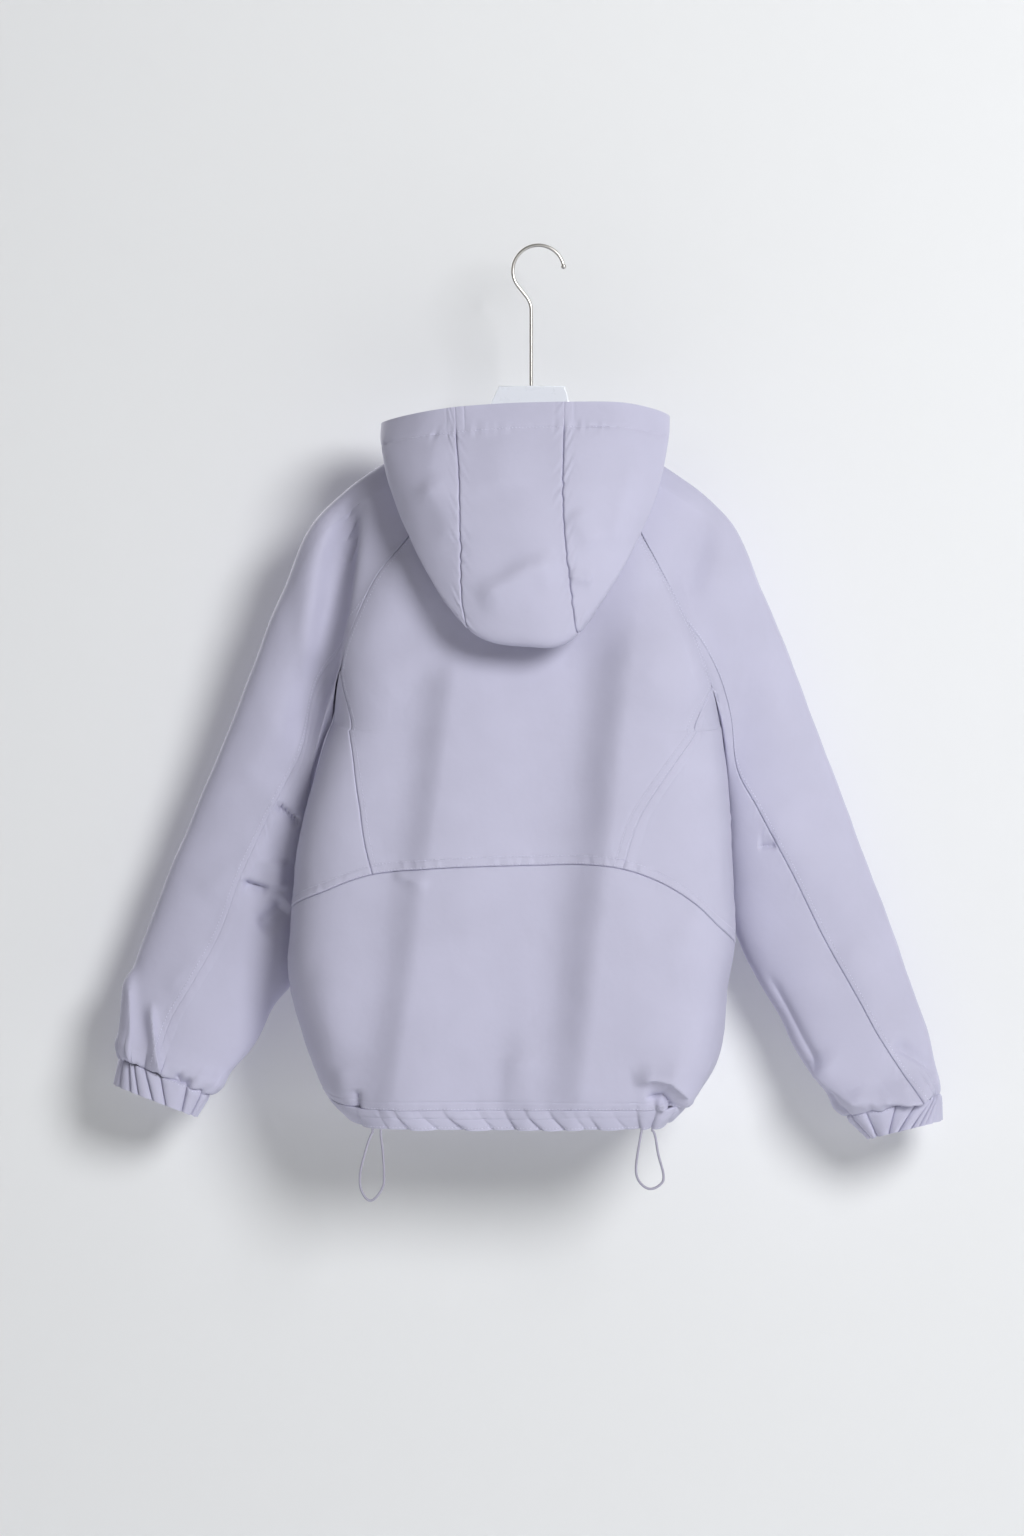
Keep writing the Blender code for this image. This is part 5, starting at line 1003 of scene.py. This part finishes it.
def make_hood():
    outer_wall = HOOD_OUTSIDE + (1 - HOOD_OUTSIDE) * spaced(HOOD_WALL_HEIGHT, STEP_HOOD, rim=True)
    rise = np.concatenate([np.linspace(0, HOOD_OUTSIDE, HOOD_INNER_STEPS)[:-1], outer_wall])[:, None]
    side = np.concatenate([
        HOOD_SEAM + (HOOD_NECK_BACK - HOOD_SEAM) * spaced(HOOD_SIDE_WIDTH, STEP_HOOD)[:-1],
        np.linspace(HOOD_NECK_BACK, HOOD_NECK_FRONT, HOOD_NECK_STEPS)[:-1],
        np.linspace(HOOD_NECK_FRONT, HOOD_END, HOOD_FRONT_STEPS),
    ])
    jag = HOOD_JAG * np.clip((rise - HOOD_JAG_ENDS[0]) / HOOD_JAG_CHANGE, 0, 1)
    jag = jag * np.clip((HOOD_JAG_ENDS[1] - rise) / HOOD_JAG_CHANGE, 0, 1)
    left_jag, right_jag = [jag * uneven(rise * HOOD_JAG_LENGTH, seed) for seed in (1, 2)]
    left_seam = left_jag - np.interp(rise, HOOD_SEAM_LEFT["rise"], HOOD_SEAM_LEFT["place"])
    right_seam = right_jag + HOOD_SEAM
    by_seam = np.clip((HOOD_NECK_BACK - side) / (HOOD_NECK_BACK - HOOD_SEAM), 0, 1)
    pieces = {
        "hood_centre": left_seam + (right_seam - left_seam) * spaced(HOOD_CENTRE_WIDTH, STEP_HOOD),
        "hood_side_left": -side[::-1] + (left_seam + HOOD_SEAM) * by_seam[::-1],
        "hood_side_right": side + (right_seam - HOOD_SEAM) * by_seam,
    }
    seam = ("puckered", "soft", -HOOD_RIM)
    seams_of = {
        "hood_centre": {"left": seam, "right": seam, "low": "plain"},
        "hood_side_left": {"right": seam, "low": "plain"},
        "hood_side_right": {"left": seam, "low": "plain"},
    }
    for node, place in pieces.items():
        place_grid, rise_grid = np.broadcast_arrays(place, rise)
        points = hood(place_grid, rise_grid)
        normals = normals_of(hood, False, place_grid, rise_grid, (-HOOD_END, HOOD_END), (0, 1))
        outside = np.clip((rise_grid - HOOD_CREASE_START) / HOOD_CREASE_CHANGE, 0, 1)
        height = outside * crease_height("hood", points, normals, -1) + slight_waves(points)
        up, over = lengths(points, 0), lengths(points, 1)
        from_stitch = np.abs(up[-1:] - up - RIM_STITCH)
        pucker = RIM_PUCKER * uneven(over, len(node)) * np.exp(-((from_stitch / RIM_PUCKER_WIDTH) ** 2))
        height = height + outside * (pucker - RIM_GROOVE * np.exp(-from_stitch / GROOVE_WIDTH))
        panel(node, points, normals, height, seams_of[node])


def seam_line(node, side, offset):
    """Points and normals along a panel, at this distance from one of its edges."""
    form = panels[node]
    outer, normals, distance = form["outer"], form["normals"], form["distances"][side]
    if side in ("left", "right"):
        outer, normals, distance = outer.swapaxes(0, 1), normals.swapaxes(0, 1), distance.T
    if side in ("high", "right"):
        outer, normals, distance = outer[::-1], normals[::-1], distance[::-1]
    after = np.clip((distance < offset).sum(axis=0), 1, len(distance) - 1)
    column = np.arange(distance.shape[1])
    near, far = distance[after - 1, column], distance[after, column]
    share = np.clip((offset - near) / np.maximum(far - near, 1e-9), 0, 1)[:, None]
    line = outer[after - 1, column] * (1 - share) + outer[after, column] * share
    return line, unit(normals[after - 1, column] * (1 - share) + normals[after, column] * share)


def repeated(name, vertices, faces):
    """A mesh of many small equal forms, with the vertices of each in a row of their own."""
    faces = np.array(faces)
    all_faces = (np.arange(len(vertices)) * vertices.shape[1])[:, None, None] + faces
    mesh = bpy.data.meshes.new(name)
    mesh.from_pydata(vertices.reshape(-1, 3).tolist(), [], all_faces.reshape(-1, faces.shape[1]).tolist())
    return mesh


def make_stitches():
    """Every stitch as a small raised lozenge of thread, in one mesh."""
    vertices = []
    for node, side, offsets in STITCH_LINES:
        for offset in offsets:
            line, normals = seam_line(node, side, offset)
            run = lengths(line, 0)
            middles = np.arange(STITCH_PITCH, run[-1] - STITCH_PITCH, STITCH_PITCH)
            start = along_line(line, run, middles - STITCH_LENGTH / 2)
            end = along_line(line, run, middles + STITCH_LENGTH / 2)
            out = unit(along_line(normals, run, middles))
            across = unit(np.cross(out, end - start)) * STITCH_WIDTH / 2
            middle = (start + end) / 2
            vertices.append(np.stack([
                start - out * STITCH_SINK, end - out * STITCH_SINK, middle + across, middle - across,
                middle + out * STITCH_RAISE, middle - out * STITCH_RAISE,
            ], axis=1))
    vertices = np.concatenate(vertices)
    mesh = repeated("topstitching", vertices, LOZENGE_FACES)
    mesh.shade_smooth()
    dress(placed("topstitching", mesh), "shell_cloth", materials["thread"])


def make_zip():
    """The two tapes under the fronts' edges and their rows of small teeth."""
    row = np.linspace(*TAPE_ROWS, TAPE_GRID[0])[:, None]
    reach = np.linspace(SEAM_GAP, ZIP_TAPE_HALF, TAPE_GRID[1])[None, :]
    for side, end in SIDE_ENDS:
        across = end * zip_across(row, reach)
        rows = np.broadcast_to(row, across.shape)
        normals = torso_normal("front", across, rows)
        under = torso("front", across, rows) - normals * TAPE_INSET
        made = shell_object(f"cloth_zip_tape_{side}", under, normals, SHELL)
        dress(made, "zip_tape", materials["tape"], f"zip_tape_{side}")
        panels[f"zip_tape_{side}"] = {"object": made}

        middle, middle_normal = under[:, 0], normals[:, 0]
        run = lengths(middle, 0)
        shift = 0 if side == "left" else TOOTH_PITCH / 2
        places = np.arange(TOOTH_PITCH + shift, run[-1] - TOOTH_PITCH, TOOTH_PITCH)
        centre, out = along_line(middle, run, places), along_line(middle_normal, run, places)
        up = unit(np.gradient(centre, axis=0))
        over = unit(np.cross(up, out))
        centre = centre + out * TOOTH_SIZE[1] / 2 + np.array((end * TOOTH_REACH / 2, 0, 0))
        wide, deep, high = [way * size / 2 for way, size in zip((over, out, up), TOOTH_SIZE)]
        ends = (-1, 1)
        corners = [centre + a * wide + b * deep + c * high for a in ends for b in ends for c in ends]
        mesh = repeated(f"zip_teeth_{side}", np.stack(corners, axis=1), BOX_FACES)
        outward = bmesh.new()
        outward.from_mesh(mesh)
        bmesh.ops.recalc_face_normals(outward, faces=outward.faces)
        outward.to_mesh(mesh)
        outward.free()
        dress(smooth_object(f"zip_teeth_{side}", mesh), "zip_tape", materials["teeth"])


def add_line(curve, route):
    line = curve.splines.new("POLY")
    line.points.add(len(route) - 1)
    for point, place in zip(line.points, route):
        point.co = (*place, 1.0)
    return line


def curve_object(name, route, diameter, sides):
    """A smooth round wire or cord along a route of points."""
    curve = bpy.data.curves.new(name, "CURVE")
    curve.dimensions = "3D"
    curve.bevel_depth = diameter / 2
    curve.bevel_resolution = sides
    curve.use_fill_caps = True
    add_line(curve, route).use_smooth = True
    return placed(name, curve)


def make_cords():
    for side, route in CORDS.items():
        knots = np.arange(len(route["x"]), dtype=float)
        at = np.linspace(0, knots[-1], CORD_STEPS)
        x, z = smooth(at, knots, route["x"]), smooth(at, knots, route["z"])
        x[0], x[-1] = x[1], x[-2]
        first, last = hem_edge(x[0]), hem_edge(x[-1])
        share = at / knots[-1]
        y = first[1] * (1 - share) + last[1] * share
        z[0], z[-1] = first[2] - CORD_END_GAP, last[2] - CORD_END_GAP
        z[1], z[-2] = min(z[1], z[0] - CORD_DIAMETER), min(z[-2], z[-1] - CORD_DIAMETER)
        points = np.stack([x, y, z], axis=-1)
        made = curve_object(f"cord_{side}", points, CORD_DIAMETER, CORD_SIDES)
        dress(made, "cord", materials["cord"], f"hem_cord_{side}")


def make_hanger():
    centre_z = HOOK_WIRE / 2 - HOOK_RADIUS
    angles = np.radians(np.linspace(HOOK_TIP_ANGLE, HOOK_TURN_ANGLE, HOOK_STEPS))
    route = [(HOOK_RADIUS * math.cos(a), 0, centre_z + HOOK_RADIUS * math.sin(a)) for a in angles]
    bend = np.array((STEM_X, 0, STEM_BEND_Z))
    start = bend + unit(np.array(route[-1]) - bend) * STEM_BEND_LENGTH
    end = bend - np.array((0, 0, STEM_BEND_LENGTH))
    for s in np.linspace(0, 1, STEM_BEND_STEPS):
        route.append(tuple((1 - s) ** 2 * start + 2 * s * (1 - s) * bend + s * s * end))
    route.append((STEM_X, 0, BOARD_TOP_Z + SEAM_GAP))
    hook = curve_object("hook_wire", route, HOOK_WIRE, WIRE_SIDES)
    dress(hook, "steel", materials["steel"], "hanger_hook")

    mesh = bpy.data.meshes.new("hook_tip")
    ball = bmesh.new()
    bmesh.ops.create_uvsphere(
        ball, u_segments=BALL_STEPS[0], v_segments=BALL_STEPS[1], radius=HOOK_BALL / 2,
    )
    bmesh.ops.translate(ball, verts=ball.verts, vec=route[0])
    ball.to_mesh(mesh)
    ball.free()
    dress(smooth_object("hook_tip", mesh), "steel", materials["steel"])

    outline = bpy.data.curves.new("board", "CURVE")
    outline.dimensions = "2D"
    outline.fill_mode = "BOTH"
    outline.bevel_depth = BOARD_EDGE
    outline.bevel_resolution = BOARD_EDGE_STEPS
    outline.offset = -BOARD_EDGE
    outline.extrude = BOARD_THICKNESS / 2 - BOARD_EDGE
    add_line(outline, [(x, z, 0) for x, z in board_outline()]).use_cyclic_u = True
    board = placed("board", outline)
    board.rotation_euler = (math.pi / 2, 0, 0)
    dress(board, "board", materials["board"], "hanger_board")


def set_inputs(node, values):
    for name, value in values.items():
        node.inputs[name].default_value = value


def noise(nodes, links, place, scale, detail):
    made = nodes.new("ShaderNodeTexNoise")
    set_inputs(made, {"Scale": scale, "Detail": detail})
    links.new(place, made.inputs["Vector"])
    return made.outputs["Fac"]


def new_material(name):
    made = bpy.data.materials.new(name)
    made.use_nodes = True
    return made, made.node_tree.nodes, made.node_tree.links


def cloth_material(name, colour, roughness, weave_period, weave_depth, crinkle_depth):
    """Plain woven nylon: slight changes of shade, fine crossing threads and a soft crinkle."""
    made, nodes, links = new_material(name)
    shader = nodes["Principled BSDF"]
    set_inputs(shader, {"Roughness": roughness, **CLOTH_SHEEN})
    place = nodes.new("ShaderNodeTexCoord").outputs["Object"]
    ramp = nodes.new("ShaderNodeValToRGB")
    for stop, at, share in zip(ramp.color_ramp.elements, SHADE_ENDS, SHADE_SHARES):
        stop.position = at
        stop.color = (*[min(c * share, 1) for c in colour], 1)
    links.new(noise(nodes, links, place, *SHADE_NOISE), ramp.inputs["Fac"])
    links.new(ramp.outputs["Color"], shader.inputs["Base Color"])
    normal = None
    steps = [(noise(nodes, links, place, *CRINKLE_NOISE), crinkle_depth)]
    for direction in ("X", "Z"):
        threads = nodes.new("ShaderNodeTexWave")
        threads.bands_direction = direction
        scale = 2 * math.pi / (WAVE_RATE * weave_period)
        set_inputs(threads, {"Scale": scale, "Distortion": WEAVE_DISTORTION})
        links.new(place, threads.inputs["Vector"])
        steps.append((threads.outputs["Fac"], weave_depth))
    for height, depth in steps:
        bump = nodes.new("ShaderNodeBump")
        set_inputs(bump, {"Strength": BUMP_STRENGTH, "Distance": depth})
        links.new(height, bump.inputs["Height"])
        if normal:
            links.new(normal, bump.inputs["Normal"])
        normal = bump.outputs["Normal"]
    links.new(normal, shader.inputs["Normal"])
    return made


def hard_material(name, colour, roughness, metallic=0.0, coat=0.0):
    """Steel or plastic, with faint streaks in its roughness."""
    made, nodes, links = new_material(name)
    shader = nodes["Principled BSDF"]
    set_inputs(shader, {"Base Color": (*colour, 1), "Metallic": metallic, "Coat Weight": coat})
    place = nodes.new("ShaderNodeTexCoord").outputs["Object"]
    span = nodes.new("ShaderNodeMapRange")
    set_inputs(span, {"To Min": roughness * STREAK_SHARES[0], "To Max": roughness * STREAK_SHARES[1]})
    links.new(noise(nodes, links, place, *STREAK_NOISE), span.inputs["Value"])
    links.new(span.outputs["Result"], shader.inputs["Roughness"])
    return made


LILAC = (0.500, 0.491, 0.622)
THREAD_LILAC = (0.660, 0.650, 0.790)
TAPE_LILAC = (0.440, 0.430, 0.570)
CORD_GREY = (0.400, 0.385, 0.480)
STEEL = (0.60, 0.58, 0.55)
BOARD_WHITE = (0.86, 0.89, 0.94)
CLOTH_SHEEN = {"Specular IOR Level": 0.35, "Sheen Weight": 0.05, "Sheen Roughness": 0.5}
# Scale and detail of the noises, and how far they change a colour or a roughness
SHADE_NOISE, CRINKLE_NOISE, STREAK_NOISE = (14.0, 3.0), (55.0, 2.0), (90.0, 4.0)
SHADE_ENDS, SHADE_SHARES, STREAK_SHARES = (0.3, 0.7), (0.965, 1.03), (0.8, 1.25)
# The wave texture turns 20 times its scale in radians for each metre
WAVE_RATE, WEAVE_DISTORTION, BUMP_STRENGTH = 20, 0.6, 0.5

# After its colour each cloth has its roughness, the weave's period and depth, and the crinkle's depth
materials = {
    "cloth": cloth_material("lilac_nylon", LILAC, 0.72, 0.0009, 0.00003, 0.0010),
    "thread": cloth_material("lilac_thread", THREAD_LILAC, 0.6, 0.0005, 0.00002, 0.0001),
    "tape": cloth_material("zip_tape_weave", TAPE_LILAC, 0.8, 0.0012, 0.00008, 0.0002),
    "teeth": hard_material("zip_teeth_plastic", TAPE_LILAC, 0.4),
    "cord": cloth_material("cord_braid", CORD_GREY, 0.6, 0.0010, 0.0002, 0.0001),
    "steel": hard_material("hanger_steel", STEEL, 0.30, metallic=1.0),
    "board": hard_material("board_plastic", BOARD_WHITE, 0.28, coat=0.3),
}

# Camera, light and stage
PIXELS_PER_METRE = 1000
PHOTO_HEIGHT = 1536
VIEW_X, VIEW_Z = -0.0264, -0.521
CAMERA_DISTANCE = 9.0
SENSOR = 36.0
FLOOR_Z = -1.42
BACKDROP_Y = 0.100
STAGE_SIZE, STAGE_ROUGHNESS, CAMERA_REACH = 14, 0.9, 60
STAGE_COLOUR = (0.80, 0.808, 0.818)
WORLD_COLOUR, WORLD_STRENGTH = (1.0, 0.985, 0.955, 1), 0.13
LIGHT_AIM = (0, 0, -0.5)
# Each light's name, place, size, power and colour
LIGHTS = [
    ("key", (2.0, -3.6, 1.1), 1.8, 150, (0.985, 0.992, 1.0)),
    ("fill", (-1.6, -3.8, 0.2), 2.5, 7, (1.0, 0.99, 0.97)),
    ("rear_key", (-1.8, 3.4, 1.2), 1.6, 90, (1.0, 0.985, 0.96)),
    ("rear_fill", (2.6, 3.0, 0.2), 2.5, 25, (0.94, 0.96, 1.0)),
]


def make_camera():
    lens = bpy.data.cameras.new("camera")
    lens.sensor_fit = "VERTICAL"
    lens.sensor_height = SENSOR
    lens.sensor_width = SENSOR
    lens.lens = SENSOR * CAMERA_DISTANCE / (PHOTO_HEIGHT / PIXELS_PER_METRE)
    lens.clip_end = CAMERA_REACH
    camera = placed("camera", lens)
    camera.location = (VIEW_X, -CAMERA_DISTANCE, VIEW_Z)
    camera.rotation_euler = (math.pi / 2, 0, 0)
    bpy.context.scene.camera = camera


def area_light(name, place, size, power, colour):
    lamp = bpy.data.lights.new(name, "AREA")
    lamp.shape = "DISK"
    lamp.size = size
    lamp.energy = power
    lamp.color = colour
    made = placed(name, lamp)
    made.location = place
    x, y, z = np.array(LIGHT_AIM) - np.array(place)
    made.rotation_euler = (math.atan2(math.hypot(x, y), -z), 0, math.atan2(-x, y))


def one_sided(name, colour):
    """A pale matte stage surface that is seen and lit from its front alone."""
    made, nodes, links = new_material(name)
    shader = nodes["Principled BSDF"]
    set_inputs(shader, {"Base Color": (*colour, 1), "Roughness": STAGE_ROUGHNESS})
    side = nodes.new("ShaderNodeNewGeometry")
    clear = nodes.new("ShaderNodeBsdfTransparent")
    mix = nodes.new("ShaderNodeMixShader")
    links.new(side.outputs["Backfacing"], mix.inputs["Fac"])
    links.new(shader.outputs["BSDF"], mix.inputs[1])
    links.new(clear.outputs["BSDF"], mix.inputs[2])
    links.new(mix.outputs["Shader"], nodes["Material Output"].inputs["Surface"])
    return made


def make_stage():
    for name, place, turn in (
        ("floor", (0, 0, FLOOR_Z), (0, 0, 0)),
        ("backdrop", (0, BACKDROP_Y, 0), (math.pi / 2, 0, 0)),
    ):
        mesh = bpy.data.meshes.new(name)
        plane = bmesh.new()
        bmesh.ops.create_grid(plane, x_segments=1, y_segments=1, size=STAGE_SIZE / 2)
        plane.to_mesh(mesh)
        plane.free()
        mesh.materials.append(one_sided(f"{name}_pale", STAGE_COLOUR))
        made = placed(name, mesh)
        made.location, made.rotation_euler = place, turn
        made.visible_shadow = False
    world = bpy.data.worlds.new("studio")
    world.use_nodes = True
    set_inputs(world.node_tree.nodes["Background"], {"Color": WORLD_COLOUR, "Strength": WORLD_STRENGTH})
    bpy.context.scene.world = world
    bpy.context.scene.view_settings.view_transform = "Standard"
    for light in LIGHTS:
        area_light(*light)


make_camera()
make_cords()
make_back()
make_fronts()
make_casings()
make_sleeves()
make_hood()
make_stitches()
make_zip()
make_hanger()
for node in ("zip_slider", "zip_pull_tab"):
    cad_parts[node].data.materials.clear()
    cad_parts[node].data.materials.append(materials["steel"])
make_stage()
bpy.context.view_layer.update()
